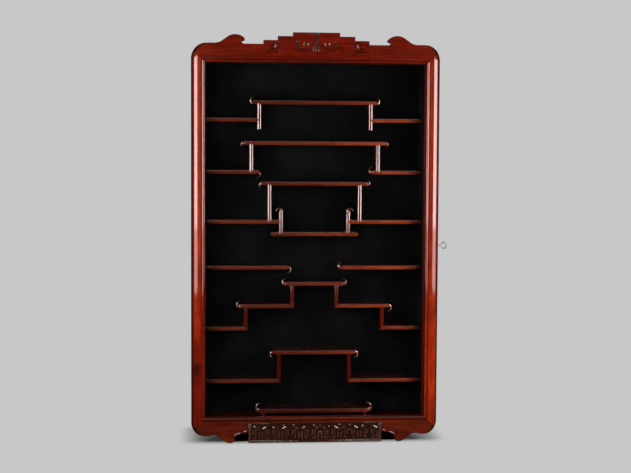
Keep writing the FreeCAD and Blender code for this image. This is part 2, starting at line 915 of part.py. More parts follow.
def lock_case():
    """Box lock: a hollow case behind a front plate, with guides for the bolt."""
    inside_front = case_front + lock_face_thickness
    face = box(lock_inner, lock_outer, case_front, inside_front, face_low, face_high)
    body = box(lock_inner, lock_outer, inside_front, lock_back, lock_low, lock_high)
    room = box(lock_inner + lock_plate, lock_outer - lock_plate, inside_front,
               lock_back - lock_plate, lock_low + lock_plate, lock_high - lock_plate)
    shape = face.fuse([body.cut(room)] + bolt_guides()).cut(staple_slot()).removeSplitter()
    shape = shape.cut(keyhole(lock_outer - lock_plate - overrun, lock_outer + overrun))
    return drilled(shape, lock_face_screws())


def lock_bolt():
    """Bolt with the horn that enters the staple and the talon that the key moves."""
    low = lock_low + lock_plate + bolt_clearance
    rear = bolt_front + bolt_body_width
    talon_high = key_height + talon_top
    horn = box(bolt_inner, bolt_outer, bolt_front, bolt_horn_rear, low, key_height + bolt_top)
    body = box(bolt_inner, bolt_outer, bolt_horn_rear, rear, low, talon_high + bolt_lip)
    talon = box(bolt_inner - overrun, bolt_outer + overrun, bolt_horn_rear, rear + overrun,
                key_height - talon_bottom, talon_high)
    return horn.fuse(body.cut(talon)).removeSplitter()


def link_plate():
    """Plate let into the door's back, with the staple that the bolt enters."""
    plate_front = door_back - link_plate_thickness
    base = box(staple_inner, link_outer, plate_front, door_back, link_low, link_high)
    loop = box(staple_inner, staple_outer, door_back, staple_back, staple_low, staple_high)
    eye = box(staple_inner + staple_leg, staple_outer - staple_leg,
              door_back, staple_back - staple_bridge, staple_low, staple_high)
    return drilled(base.fuse(loop.cut(eye)), link_screws())


def escutcheon():
    """Keyhole plate on the outside of the case."""
    half_width = escutcheon_width / 2
    straight = (escutcheon_height - escutcheon_width) / 2
    base = Vector(half_case_outer, key_y, key_height)
    shape = Part.makeBox(escutcheon_thickness, escutcheon_width, 2 * straight,
                         base + Vector(0, -half_width, -straight))
    for rise in (-straight, straight):
        shape = shape.fuse(Part.makeCylinder(half_width, escutcheon_thickness,
                                             base + Vector(0, 0, rise), Vector(1, 0, 0)))
    return shape.removeSplitter().cut(keyhole(half_case_outer - overrun,
                                              half_case_outer + escutcheon_thickness + overrun))


def key():
    """Key with its shank in the lock, its bit down and its bow facing the front."""
    collar_start = half_case_outer + escutcheon_thickness + key_collar_gap
    tip = lock_inner + lock_plate + key_bit_setback
    bow_middle = half_case_outer + key_reach
    bow_inner = bow_middle - key_bow_radius
    axis = Vector(1, 0, 0)
    shank = Part.makeCylinder(key_shank_radius, bow_inner - tip, Vector(tip, key_y, key_height), axis)
    collar = Part.makeCylinder(key_collar_radius, key_collar_width,
                               Vector(collar_start, key_y, key_height), axis)
    bit = box(tip, tip + key_bit_width, key_y - key_bit_thickness / 2,
              key_y + key_bit_thickness / 2, key_height - key_bit_length, key_height)
    low = key_height - key_bow_straight / 2
    high = key_height + key_bow_straight / 2
    outer = bow_middle + key_bow_radius
    path = [((outer, low), (outer, high)),
            arc_between((bow_middle, high), key_bow_radius, 0, 180),
            ((bow_inner, high), (bow_inner, low)),
            arc_between((bow_middle, low), key_bow_radius, 180, 360)]
    edges = []
    for segment in path:
        points = [Vector(x, key_y, z) for x, z in segment]
        curve = Part.LineSegment(*points) if len(points) == 2 else Part.Arc(*points)
        edges.append(curve.toShape())
    section = Part.Wire(Part.makeCircle(key_bow_wire, Vector(outer, key_y, low), Vector(0, 0, 1)))
    bow = Part.Wire(edges).makePipeShell([section], True, True)
    return shank.fuse([collar, bit, bow])


# Case

def case_box():
    """Sides, top and bottom of the case with the back's rebate cut in them."""
    back_hole = box(-half_case_inner - back_rebate, half_case_inner + back_rebate,
                    lining_back, case_back + overrun,
                    case_floor - back_rebate, case_ceiling + back_rebate)
    low = case_floor - case_wall
    high = case_ceiling + case_wall
    left = box(-half_case_outer, -half_case_inner, case_front, case_back, low, high)
    right = box(half_case_inner, half_case_outer, case_front, case_back, low, high)
    top = box(-half_case_inner, half_case_inner, case_front, case_back, case_ceiling, high)
    bottom = box(-half_case_inner, half_case_inner, case_front, case_back, low, case_floor)
    gap = lock_pocket_clearance
    pocket = box(lock_inner - gap, lock_outer + gap, case_front - overrun, lock_back + gap,
                 lock_low - gap, lock_high + gap)
    face_pocket = box(lock_inner - gap, lock_outer + gap, case_front - overrun,
                      case_front + lock_face_thickness, face_low - gap, face_high + gap)
    right = right.cut(pocket).cut(face_pocket)
    right = right.cut(keyhole(lock_outer - overrun, half_case_outer + overrun))
    return {
        "case_side_left": drilled(left.cut(back_hole), case_leaf_screws()),
        "case_side_right": drilled(right.cut(back_hole), lock_face_screws()),
        "case_top_board": drilled(top.cut(back_hole), hanger_screws()),
        "case_bottom_board": bottom.cut(back_hole),
        "case_back_panel": back_panel(),
    }


def back_panel():
    """Thin panel in the rebate at the back of the case."""
    edge = back_rebate - panel_clearance
    panel = box(-half_case_inner - edge, half_case_inner + edge, lining_back, case_back,
                case_floor - edge, case_ceiling + edge)
    return drilled(panel, hanger_screws())


def velvet_lining():
    """Velvet sheets on the back, the sides and the ceiling of the case."""
    front = case_front
    back = box(-half_clear, half_clear, shelf_back, lining_back,
               case_floor, case_ceiling - velvet_thickness)
    left = box(-half_case_inner, -half_clear, front, lining_back,
               case_floor, case_ceiling - velvet_thickness)
    right = box(half_clear, half_case_inner, front, lining_back,
                case_floor, case_ceiling - velvet_thickness)
    ceiling = box(-half_case_inner, half_case_inner, front, lining_back,
                  case_ceiling - velvet_thickness, case_ceiling)
    return group([back, left, right, ceiling])


def plinth():
    """Frame of boards under the case with one across its middle, set back from the edges."""
    half = plinth_width / 2
    front = case_front + plinth_inset
    back = case_back - plinth_inset
    high = case_floor - case_wall
    inner = half - plinth_board
    half_board = plinth_board / 2
    return group([
        box(-half, half, front, front + plinth_board, 0, high),
        box(-half, half, back - plinth_board, back, 0, high),
        box(-half, -inner, front + plinth_board, back - plinth_board, 0, high),
        box(inner, half, front + plinth_board, back - plinth_board, 0, high),
        box(-half_board, half_board, front + plinth_board, back - plinth_board, 0, high),
    ])


# Hanger plates

hanger_top = case_ceiling + case_wall + hanger_rise


def hanger_screws():
    """Screws through both hanger plates, into the top board's back edge."""
    level = case_ceiling + case_wall - hanger_screw_inset
    back = case_back + hanger_thickness
    return [(Vector(side * hanger_spacing / 2 + step * hanger_screw_spacing / 2, back, level),
             Vector(0, -1, 0)) for name, side in sides() for step in (-1, 1)]


def hanger_plates():
    """Two brass plates with a hole above the case."""
    plates = []
    for name, side in sides():
        centre = side * hanger_spacing / 2
        body = box(centre - hanger_width / 2, centre + hanger_width / 2, case_back,
                   case_back + hanger_thickness, hanger_top - hanger_height, hanger_top)
        hole = Part.makeCylinder(hanger_hole_radius, hanger_thickness + 2 * overrun,
                                 Vector(centre, case_back - overrun,
                                        hanger_top - hanger_hole_inset), Vector(0, 1, 0))
        plates.append(body.cut(hole))
    return drilled(group(plates), hanger_screws())


def screws():
    """Screws of the case and of the door."""
    on_case = case_leaf_screws() + lock_face_screws() + hanger_screws()
    on_door = door_leaf_screws() + link_screws()
    return {
        "case_screws": group([screw(place, way) for place, way in on_case]),
        "door_screws": group([screw(place, way) for place, way in on_door]),
    }


def door():
    """Parts of the door frame."""
    link_pocket = box(staple_inner, link_outer, door_back - link_plate_thickness,
                      door_back + overrun, link_low, link_high)
    right = drilled(stile(1).cut(link_pocket), link_screws())
    return {
        "door_stile_left": drilled(stile(-1), door_leaf_screws()),
        "door_stile_right": right,
        "door_top_rail": top_rail(),
        "door_bottom_rail": bottom_rail(),
        "carved_plaque": plaque(),
        "glass_pane": glass(),
        "glazing_beads": glazing_beads(),
    }


def build():
    """Every node of the cabinet by name."""
    parts = {}
    for some in (case_box(), shelves(), posts(), door(), hinge_parts(), screws()):
        parts.update(some)
    parts["velvet_lining"] = velvet_lining()
    parts["plinth_frame"] = plinth()
    parts["hanger_plates"] = hanger_plates()
    parts["lock_case"] = lock_case()
    parts["lock_bolt"] = lock_bolt()
    parts["link_plate"] = link_plate()
    parts["key_escutcheon"] = escutcheon()
    parts["key"] = key()
    return parts


os.makedirs("parts", exist_ok=True)
for name, shape in build().items():
    shape.exportStep("parts/" + name + ".step")
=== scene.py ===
import math

import bmesh
import bpy
from mathutils import Matrix, Vector


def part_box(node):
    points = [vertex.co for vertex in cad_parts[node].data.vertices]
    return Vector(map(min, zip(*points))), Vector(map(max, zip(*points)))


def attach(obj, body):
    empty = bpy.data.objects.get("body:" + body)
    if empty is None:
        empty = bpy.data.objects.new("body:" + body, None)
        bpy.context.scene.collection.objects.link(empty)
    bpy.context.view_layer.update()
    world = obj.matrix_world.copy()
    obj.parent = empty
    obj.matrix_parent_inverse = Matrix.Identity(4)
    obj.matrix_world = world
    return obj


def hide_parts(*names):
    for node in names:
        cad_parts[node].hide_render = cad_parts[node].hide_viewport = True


# The cabinet is modelled in millimetres, and each finished piece is brought to metres.
MM = 0.001

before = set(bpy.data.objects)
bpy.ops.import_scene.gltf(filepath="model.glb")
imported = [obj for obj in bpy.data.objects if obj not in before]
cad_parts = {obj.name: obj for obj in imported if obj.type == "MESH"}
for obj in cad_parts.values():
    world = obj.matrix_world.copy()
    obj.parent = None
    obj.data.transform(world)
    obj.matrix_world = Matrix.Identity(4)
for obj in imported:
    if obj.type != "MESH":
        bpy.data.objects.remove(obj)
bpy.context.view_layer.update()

DOOR_FRONT, DOOR_BACK = -62.5, -40.7
HALF_SIGHT, SIGHT_LOW, SIGHT_HIGH = 245.0, 57.5, 842.5
HALF_DOOR = 275.0
SHELF_FRONT, SHELF_BACK = -26.5, 33.0
BOARD, POST = 9.5, 9.0


# Workbench: the few operations that every wooden piece goes through

def corners_of(node):
    """Lowest and highest corner of a solid of the frame, in millimetres."""
    low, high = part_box(node)
    return low / MM, high / MM


def kind_in(geometry, kind):
    return [g for g in geometry if isinstance(g, kind)]


def section(bm, points):
    """Flat face through a few corners."""
    return bm.faces.new([bm.verts.new(p) for p in points])


def draw_out(bm, faces, way):
    """Draws faces out along a straight way and gives the new end faces."""
    grown = bmesh.ops.extrude_face_region(bm, geom=faces)["geom"]
    bmesh.ops.translate(bm, verts=kind_in(grown, bmesh.types.BMVert), vec=way)
    return kind_in(grown, bmesh.types.BMFace)


def ease_corners(bm, verts, amount, steps):
    """Rounds corners of a flat section."""
    bmesh.ops.bevel(bm, geom=verts, offset=amount, offset_type="OFFSET", segments=steps,
                    profile=0.5, affect="VERTICES", material=-1)


def ease_edges(bm, edges, amount, steps):
    """Rounds edges of a solid."""
    bmesh.ops.bevel(bm, geom=edges, offset=amount, offset_type="OFFSET", segments=steps,
                    profile=0.5, affect="EDGES", material=-1, clamp_overlap=True)


def saw(bm, point, waste):
    """Cuts off what lies on the waste side of a plane and closes the cut."""
    cut = bmesh.ops.bisect_plane(bm, geom=bm.verts[:] + bm.edges[:] + bm.faces[:], dist=0.0005,
                                 plane_co=point, plane_no=waste, clear_outer=True)
    edges = kind_in(cut["geom_cut"], bmesh.types.BMEdge)
    bmesh.ops.holes_fill(bm, edges=[e for e in edges if e.is_boundary], sides=0)


def join_in(bm, other):
    """Adds another body of wood to this one."""
    mesh = bpy.data.meshes.new("offcut")
    other.to_mesh(mesh)
    other.free()
    bm.from_mesh(mesh)
    bpy.data.meshes.remove(mesh)


def flip(bm):
    """Turns a piece into its mirror image, left to right."""
    bmesh.ops.scale(bm, vec=(-1, 1, 1), verts=bm.verts[:])
    bmesh.ops.reverse_faces(bm, faces=bm.faces[:])


def hand_over(name, bm, finish, body, nodes, sharp=32):
    """Makes the finished piece: welded, faces outwards, in metres, riding with its body.
    Edges past the sharp angle stay crisp, and so does the rim of each flat front."""
    bmesh.ops.remove_doubles(bm, verts=bm.verts[:], dist=0.002)
    bmesh.ops.recalc_face_normals(bm, faces=bm.faces[:])
    for face in bm.faces:
        face.smooth = True
    for edge in bm.edges:
        fronts = [face.normal.y < -0.99995 for face in edge.link_faces]
        edge.smooth = edge.calc_face_angle(0.0) < math.radians(sharp) and (all(fronts) or not any(fronts))
    bmesh.ops.scale(bm, vec=(MM, MM, MM), verts=bm.verts[:])
    mesh = bpy.data.meshes.new(name)
    bm.to_mesh(mesh)
    bm.free()
    mesh.materials.append(finish)
    piece = bpy.data.objects.new(name, mesh)
    bpy.context.scene.collection.objects.link(piece)
    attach(piece, body)
    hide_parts(*nodes)
    return piece


def bent_line(name, knots, closed, radius=0.0, steps=8):
    """Mesh of a line through knots (x, y, z, kind); with a radius it is a round bar along it.
    Kind v is a sharp corner and a a smooth bend."""
    curve = bpy.data.curves.new(name, "CURVE")
    curve.dimensions = "3D"
    curve.resolution_u = steps
    curve.bevel_depth = radius
    curve.bevel_resolution = 2
    curve.use_fill_caps = True
    spline = curve.splines.new("BEZIER")
    spline.bezier_points.add(len(knots) - 1)
    spline.use_cyclic_u = closed
    for knot, (x, y, z, kind) in zip(spline.bezier_points, knots):
        knot.co = (x, y, z)
        knot.handle_left_type = knot.handle_right_type = "VECTOR" if kind == "v" else "AUTO"
    holder = bpy.data.objects.new(name, curve)
    bpy.context.scene.collection.objects.link(holder)
    bpy.context.view_layer.update()
    mesh = bpy.data.meshes.new_from_object(holder.evaluated_get(bpy.context.evaluated_depsgraph_get()))
    bpy.data.objects.remove(holder)
    bpy.data.curves.remove(curve)
    bm = bmesh.new()
    bm.from_mesh(mesh)
    bpy.data.meshes.remove(mesh)
    bmesh.ops.remove_doubles(bm, verts=bm.verts[:], dist=0.01)
    return bm


# Finishes

def new_group(name, inputs, outputs):
    """Empty node group with its sockets."""
    group = bpy.data.node_groups.new(name, "ShaderNodeTree")
    for label, kind, value in inputs:
        socket = group.interface.new_socket(label, in_out="INPUT", socket_type=kind)
        if value is not None:
            socket.default_value = value
    for label, kind in outputs:
        group.interface.new_socket(label, in_out="OUTPUT", socket_type=kind)
    return group, group.nodes.new("NodeGroupInput"), group.nodes.new("NodeGroupOutput")


def node(tree, kind, settings=None, **values):
    """Node with its settings and its input values; a value may be another node's output."""
    made = tree.nodes.new(kind)
    for key, value in (settings or {}).items():
        setattr(made, key, value)
    for key, value in values.items():
        plug(tree, made, key.replace("_", " "), value)
    return made


def plug(tree, made, label, value):
    """Sets an input, or links it when the value is an output."""
    socket = made.inputs[int(label)] if label.isdigit() else made.inputs[label]
    if isinstance(value, bpy.types.NodeSocket):
        tree.links.new(value, socket)
    else:
        socket.default_value = value


def maths(tree, operation, first, second=None, clamp=False):
    made = tree.nodes.new("ShaderNodeMath")
    made.operation = operation
    made.use_clamp = clamp
    plug(tree, made, "0", first)
    if second is not None:
        plug(tree, made, "1", second)
    return made.outputs[0]


def times(tree, first, second):
    return maths(tree, "MULTIPLY", first, second)


def vector_maths(tree, operation, first, second=None, output="Vector"):
    made = tree.nodes.new("ShaderNodeVectorMath")
    made.operation = operation
    plug(tree, made, "0", first)
    if second is not None:
        plug(tree, made, "1", second)
    return made.outputs[output]


def drawn_long(tree, place, share):
    """Place with its Z shrunk, so that a pattern runs long in that direction."""
    return vector_maths(tree, "MULTIPLY", place, (1.0, 1.0, share))


def axes(tree, vector):
    """The three numbers of a vector, by the names X, Y and Z."""
    return node(tree, "ShaderNodeSeparateXYZ", Vector=vector).outputs


def between(tree, value, low, high):
    """Value brought from low..high to 0..1, smoothly."""
    made = tree.nodes.new("ShaderNodeMapRange")
    made.interpolation_type = "SMOOTHSTEP"
    plug(tree, made, "Value", value)
    plug(tree, made, "From Min", low)
    plug(tree, made, "From Max", high)
    return made.outputs[0]


def mix_colours(tree, share, first, second, blend="MIX"):
    made = tree.nodes.new("ShaderNodeMix")
    made.data_type = "RGBA"
    made.blend_type = blend
    made.clamp_factor = True
    plug(tree, made, "0", share)
    plug(tree, made, "6", first)
    plug(tree, made, "7", second)
    return made.outputs[2]


def mix_shaders(tree, share, first, second):
    made = tree.nodes.new("ShaderNodeMixShader")
    tree.links.new(share, made.inputs[0])
    tree.links.new(first.outputs[0], made.inputs[1])
    tree.links.new(second.outputs[0], made.inputs[2])
    return made


def bump_from(tree, shader, height, strength, distance):
    """Fine relief from a height, in metres, on a principled shader."""
    made = node(tree, "ShaderNodeBump", Strength=strength, Distance=distance, Height=height)
    tree.links.new(made.outputs[0], shader.inputs["Normal"])


def noise(tree, place, scale, detail=3.0, roughness=0.55):
    return node(tree, "ShaderNodeTexNoise", Vector=place, Scale=scale, Detail=detail,
                Roughness=roughness).outputs["Fac"]


PORE_TONE = (0.02, 0.004, 0.002, 1)


def make_hardwood_figure():
    """Grain that runs along the local Z: broad figure, growth bands, streaks and pores."""
    group, given, result = new_group(
        "hardwood_figure",
        [("Place", "NodeSocketVector", None), ("Pale Tone", "NodeSocketColor", None),
         ("Deep Tone", "NodeSocketColor", None), ("Streak Tone", "NodeSocketColor", None),
         ("Band Size", "NodeSocketFloat", 1.0), ("Streak Share", "NodeSocketFloat", 0.5),
         ("Pore Share", "NodeSocketFloat", 0.5), ("Polish", "NodeSocketFloat", 0.3)],
        [("Colour", "NodeSocketColor"), ("Roughness", "NodeSocketFloat"),
         ("Height", "NodeSocketFloat")])
    wanted = given.outputs
    place = wanted["Place"]
    wander = node(group, "ShaderNodeTexNoise", Vector=drawn_long(group, place, 0.16), Scale=16.0,
                  Detail=2.0).outputs["Color"]
    wander = node(group, "ShaderNodeVectorMath", {"operation": "SCALE"}, Vector=wander,
                  Scale=0.05).outputs[0]
    bent = vector_maths(group, "ADD", place, wander)
    broad = between(group, noise(group, drawn_long(group, bent, 0.1), 24.0, 3.0), 0.36, 0.66)
    rings = node(group, "ShaderNodeTexWave", {"wave_type": "BANDS", "bands_direction": "X"},
                 Vector=drawn_long(group, bent, 0.1), Scale=times(group, wanted["Band Size"], 38.0),
                 Distortion=7.0, Detail=2.5, Detail_Scale=1.4).outputs["Fac"]
    streak = between(group, noise(group, drawn_long(group, bent, 0.028), 420.0, 4.0), 0.44, 0.72)
    pore = between(group, noise(group, drawn_long(group, place, 0.045), 1500.0, 2.0), 0.6, 0.7)
    mottle = between(group, noise(group, drawn_long(group, bent, 0.35), 75.0, 3.0), 0.36, 0.64)
    tone = maths(group, "ADD", times(group, broad, 0.45), times(group, rings, 0.25))
    tone = maths(group, "ADD", tone, times(group, mottle, 0.3), clamp=True)
    colour = mix_colours(group, tone, wanted["Deep Tone"], wanted["Pale Tone"])
    colour = mix_colours(group, times(group, streak, wanted["Streak Share"]), colour,
                         wanted["Streak Tone"])
    colour = mix_colours(group, times(group, pore, wanted["Pore Share"]), colour, PORE_TONE)
    group.links.new(colour, result.inputs["Colour"])
    smear = maths(group, "SUBTRACT", noise(group, place, 30.0, 4.0), 0.5)
    rough = maths(group, "ADD", wanted["Polish"], times(group, smear, 0.25))
    rough = maths(group, "ADD", rough, times(group, pore, 0.15), clamp=True)
    group.links.new(rough, result.inputs["Roughness"])
    height = maths(group, "SUBTRACT", times(group, streak, -0.3), pore)
    group.links.new(height, result.inputs["Height"])
    return group


def make_handling():
    """Marks of use: a mask of faint dust and one of worn patches."""
    group, given, result = new_group(
        "handling",
        [("Place", "NodeSocketVector", None), ("Size", "NodeSocketFloat", 1.0),
         ("Amount", "NodeSocketFloat", 0.3)],
        [("Dust", "NodeSocketFloat"), ("Wear", "NodeSocketFloat")])
    place, size, amount = (given.outputs[label] for label in ("Place", "Size", "Amount"))
    patches = noise(group, place, times(group, size, 14.0), 5.0, 0.6)
    specks = noise(group, place, times(group, size, 160.0), 3.0, 0.7)
    dust = times(group, between(group, patches, 0.45, 0.75), between(group, specks, 0.5, 0.8))
    group.links.new(times(group, dust, amount), result.inputs["Dust"])
    wear = times(group, between(group, patches, 0.55, 0.4), amount)
    group.links.new(wear, result.inputs["Wear"])
    return group


hardwood_figure = make_hardwood_figure()
handling = make_handling()


def new_finish(name, **plain):
    """Material with its principled shader; plain holds values that don't change over it."""
    finish = bpy.data.materials.new(name)
    finish.use_nodes = True
    tree = finish.node_tree
    shader = tree.nodes["Principled BSDF"]
    for label, value in plain.items():
        shader.inputs[label.replace("_", " ")].default_value = value
    place = tree.nodes.new("ShaderNodeTexCoord").outputs["Object"]
    return finish, tree, shader, place


def turned(tree, place, turn, shift):
    """Place turned and shifted, so that the grain lies as the board was cut."""
    made = tree.nodes.new("ShaderNodeMapping")
    plug(tree, made, "Vector", place)
    made.inputs["Rotation"].default_value = [math.radians(a) for a in turn]
    made.inputs["Location"].default_value = shift
    return made.outputs[0]


DUST_TONE = (0.3, 0.2, 0.16, 1)
# Painted shade for faces turned away from the front.
RIM_SHADE_TONE = (0.012, 0.003, 0.002, 1)
# Painted shade for the shelves' ends by the walls, and for the low and left part of the case.
CORNER_SHADE_TONE = (0.008, 0.002, 0.001, 1)
DIM_SHADE_TONE = (0.02, 0.003, 0.0015, 1)
# Painted shade for carved cuts.
HOLLOW_SHADE_TONE = (0.008, 0.002, 0.0015, 1)
# Painted highlight for the highest parts of a relief.
PROUD_HIGHLIGHT_TONE = (0.72, 0.6, 0.55, 1)
KNOT_TONE = (0.018, 0.005, 0.003, 1)
KNOT_SHAPE = (1.0, 0.35, 0.55)


def round_knot(tree, place, grain, knot):
    """Mask of a knot, and the grain pulled aside by it."""
    middle = [k * share for k, share in zip(knot, KNOT_SHAPE)]
    reach = vector_maths(tree, "DISTANCE", vector_maths(tree, "MULTIPLY", place, KNOT_SHAPE), middle,
                         "Value")
    heart = between(tree, reach, 0.016, 0.002)
    swirl = node(tree, "ShaderNodeCombineXYZ", X=times(tree, heart, 0.012)).outputs[0]
    return heart, vector_maths(tree, "ADD", grain, swirl)


def polished_wood(name, turn, shift, pale, deep, streak, band=1.0, streaks=0.5, pores=0.35,
                  polish=0.22, coat=1.0, gloss=1.9, sheen_level=0.35, rim=0.0, edge=(0.93, 0.55),
                  corners=0.0, dim=0.0, hollow=None, proud=None, knot=None, bands=()):
    """Polished hardwood with its grain turned to lie along the board.
    rim is painted shade on what turns away from the front, between the two shares of edge;
    corners is painted shade on the shelves' ends and dim painted shade on the low and left part of the
    case;
    hollow is painted shade in cuts between two depths, by a share, and proud is a painted highlight on
    the parts standing out past its two depths;
    each band is a paler or darker line along the board: its middle and reach in X, the heights
    where it starts and is full, and its tint."""
    finish, tree, shader, place = new_finish(
        name, Coat_Weight=coat, Coat_Roughness=0.07, Coat_IOR=gloss,
        Specular_IOR_Level=sheen_level, Specular_Tint=(1.0, 0.32, 0.2, 1))
    grain = turned(tree, place, turn, shift)
    if knot:
        heart, grain = round_knot(tree, place, grain, knot)
    wood = node(tree, "ShaderNodeGroup", {"node_tree": hardwood_figure}, Place=grain, Pale_Tone=pale,
                Deep_Tone=deep, Streak_Tone=streak, Band_Size=band, Streak_Share=streaks,
                Pore_Share=pores, Polish=polish).outputs
    use = node(tree, "ShaderNodeGroup", {"node_tree": handling}, Place=place, Size=1.0,
               Amount=0.35).outputs
    where = axes(tree, place)
    colour = mix_colours(tree, times(tree, use["Dust"], 0.06), wood["Colour"], DUST_TONE)
    shades = []
    # Painted shade: faces turned away from the front, such as outer roundings and the posts' sides, are
    # darkened.
    if rim:
        facing = axes(tree, tree.nodes.new("ShaderNodeTexCoord").outputs["Normal"])["Y"]
        turned_away = between(tree, maths(tree, "ABSOLUTE", facing), *edge)
        colour = mix_colours(tree, times(tree, turned_away, rim), colour, RIM_SHADE_TONE)
    # Painted bands: paler lines are painted sheen and highlight, darker ones painted shade.
    for middle, reach, starts, full, tint in bands:
        beside = maths(tree, "ABSOLUTE", maths(tree, "SUBTRACT", where["X"], middle))
        share = times(tree, between(tree, beside, reach, reach * 0.3),
                      between(tree, where["Z"], starts, full))
        colour = mix_colours(tree, share, colour, (*tint, 1), "MULTIPLY")
    # Painted shade: the shelves' ends by the case walls, where the stiles shade them, are darkened.
    if corners:
        shaded_end = between(tree, maths(tree, "ABSOLUTE", where["X"]), 0.200, 0.243)
        shades.append((shaded_end, corners, CORNER_SHADE_TONE))
    # Painted shade: the low part of the case, less so on the right, and its left part are darkened.
    if dim:
        rightwards = times(tree, maths(tree, "MAXIMUM", where["X"], 0.0), 0.7)
        low_down = between(tree, maths(tree, "ADD", where["Z"], rightwards), 0.26, 0.05)
        leftwards = times(tree, between(tree, where["X"], 0.24, -0.1), 0.75)
        shades.append((maths(tree, "MAXIMUM", low_down, leftwards), dim, DIM_SHADE_TONE))
    # Painted shade: cuts deeper than the face are darkened by a share.
    if hollow:
        rim_depth, cut_depth, share = hollow
        shades.append((between(tree, where["Y"], rim_depth, cut_depth), share, HOLLOW_SHADE_TONE))
    # Painted highlight: the highest parts of the relief are painted pale.
    if proud:
        shades.append((between(tree, where["Y"], *proud), 0.85, PROUD_HIGHLIGHT_TONE))
    if knot:
        shades.append((heart, 0.85, KNOT_TONE))
    for mask, share, tone in shades:
        colour = mix_colours(tree, times(tree, mask, share), colour, tone)
    tree.links.new(colour, shader.inputs["Base Color"])
    rough = maths(tree, "ADD", wood["Roughness"], times(tree, use["Wear"], 0.2), clamp=True)
    tree.links.new(rough, shader.inputs["Roughness"])
    bump_from(tree, shader, wood["Height"], 0.25, 0.0002)
    return finish


def tones(red, green=0.055, blue=0.015):
    """Pale, deep and streak tone of one board of the red wood."""
    return dict(pale=(red, red * green, red * blue, 1),
                deep=(red * 0.38, red * green * 0.33, red * blue * 0.4, 1),
                streak=(red * 0.2, red * green * 0.22, red * blue * 0.33, 1))


UPRIGHT, LEVEL = (0, 0, 0), (0, 90, 0)
# Painted shade over the stiles near their mitres with the apron and the crest.
MITRE_SHADE = [(0.0, 2.0, 0.13, 0.04, (0.7, 0.72, 0.8)), (0.0, 2.0, 0.83, 0.866, (0.75, 0.65, 0.7))]
# Painted sheen along the middle of each stile and painted highlight along its bead, each over part of the
# height.
LEFT_STILE_SHEEN = [(-0.262, 0.012, 0.20, 0.26, (1.8, 2.2, 1.0)), (-0.248, 0.0035, 0.2, 0.35, (1.2, 1.6, 1.3))]
RIGHT_STILE_SHEEN = [(0.264, 0.013, 0.52, 0.36, (1.6, 2.2, 1.0)), (0.248, 0.0035, 0.0, 0.01, (1.15, 1.6, 1.4))]
# Depths and share of the painted shade in the crest's and apron's carved cuts.
CARVED_DEPTH = (-0.0616, -0.0609, 0.9)

# The stiles are painted paler than the rails, and the right one paler than the left, as painted sheen
# from the side lights.
stile_wood_left = polished_wood("rosewood_left_stile", UPRIGHT, (0.3, 0.1, 0.0), band=0.8, rim=0.8,
                                knot=(-0.262, -0.062, 0.168), bands=LEFT_STILE_SHEEN + MITRE_SHADE,
                                **tones(0.34))
stile_wood_right = polished_wood("rosewood_right_stile", UPRIGHT, (1.4, 0.6, 0.2), band=0.8, rim=0.8,
                                 bands=RIGHT_STILE_SHEEN + MITRE_SHADE, **tones(0.41))
crest_wood = polished_wood("rosewood_crest", LEVEL, (0.8, 0.3, 0.5), band=0.7, rim=0.95,
                           hollow=CARVED_DEPTH, **tones(0.23))
apron_wood = polished_wood("rosewood_apron", LEVEL, (2.1, 0.2, 0.4), band=0.7, rim=0.95,
                           hollow=CARVED_DEPTH, **tones(0.21, 0.12, 0.035))
shelf_wood = polished_wood("rosewood_shelves", LEVEL, (0.2, 0.7, 0.1), band=1.4, gloss=2.9, rim=0.9,
                           edge=(0.99, 0.78), corners=0.95, dim=0.85, pale=(0.58, 0.092, 0.03, 1),
                           deep=(0.24, 0.022, 0.008, 1), streak=(0.06, 0.006, 0.003, 1))
post_wood = polished_wood("rosewood_posts", UPRIGHT, (0.9, 0.2, 0.6), band=1.4, gloss=2.3, rim=1.0,
                          dim=0.6, **tones(0.22))
case_wood_upright = polished_wood("rosewood_case_sides", UPRIGHT, (0.5, 0.9, 0.3), polish=0.42,
                                  coat=0.4, **tones(0.22))
case_wood_level = polished_wood("rosewood_case_ends", LEVEL, (0.1, 0.4, 0.9), polish=0.42, coat=0.4,
                                **tones(0.22))
# The case floor is painted near black as painted shade for the shade it lies in.
case_floor_shade = polished_wood("case_floor_painted_shade", LEVEL, (0.6, 0.1, 0.2), polish=0.4, coat=0.3,
                          **tones(0.02))
# The plinth is painted near black and dull as painted shade under the cabinet.
plinth_shade = polished_wood("plinth_painted_shade", LEVEL, (0.3, 0.3, 0.7), polish=0.8, coat=0.0,
                            sheen_level=0.05, **tones(0.008))
# The plaque's cuts get painted shade and its bosses a painted highlight.
plaque_wood = polished_wood("dark_plaque_wood", LEVEL, (1.7, 0.8, 0.2), band=1.2, pores=0.5, gloss=2.0,
                            rim=0.8, hollow=(-0.0686, -0.0676, 0.72), proud=(-0.0698, -0.0704),
                            pale=(0.145, 0.05, 0.031, 1), deep=(0.062, 0.023, 0.015, 1),
                            streak=(0.02, 0.006, 0.004, 1))


def make_velvet():
    """Black velvet with a short pile that lies unevenly."""
    finish, tree, shader, place = new_finish("black_velvet", Roughness=0.95, Specular_IOR_Level=0.02)
    clouds = between(tree, noise(tree, place, 9.0, 4.0), 0.35, 0.75)
    pile = noise(tree, place, 900.0, 2.0)
    colour = mix_colours(tree, clouds, (0.0037, 0.0036, 0.0037, 1), (0.0080, 0.0078, 0.0078, 1))
    colour = mix_colours(tree, times(tree, between(tree, pile, 0.5, 0.8), 0.4), colour,
                         (0.013, 0.0127, 0.013, 1))
    tree.links.new(colour, shader.inputs["Base Color"])
    bump_from(tree, shader, pile, 0.4, 0.0004)
    return finish


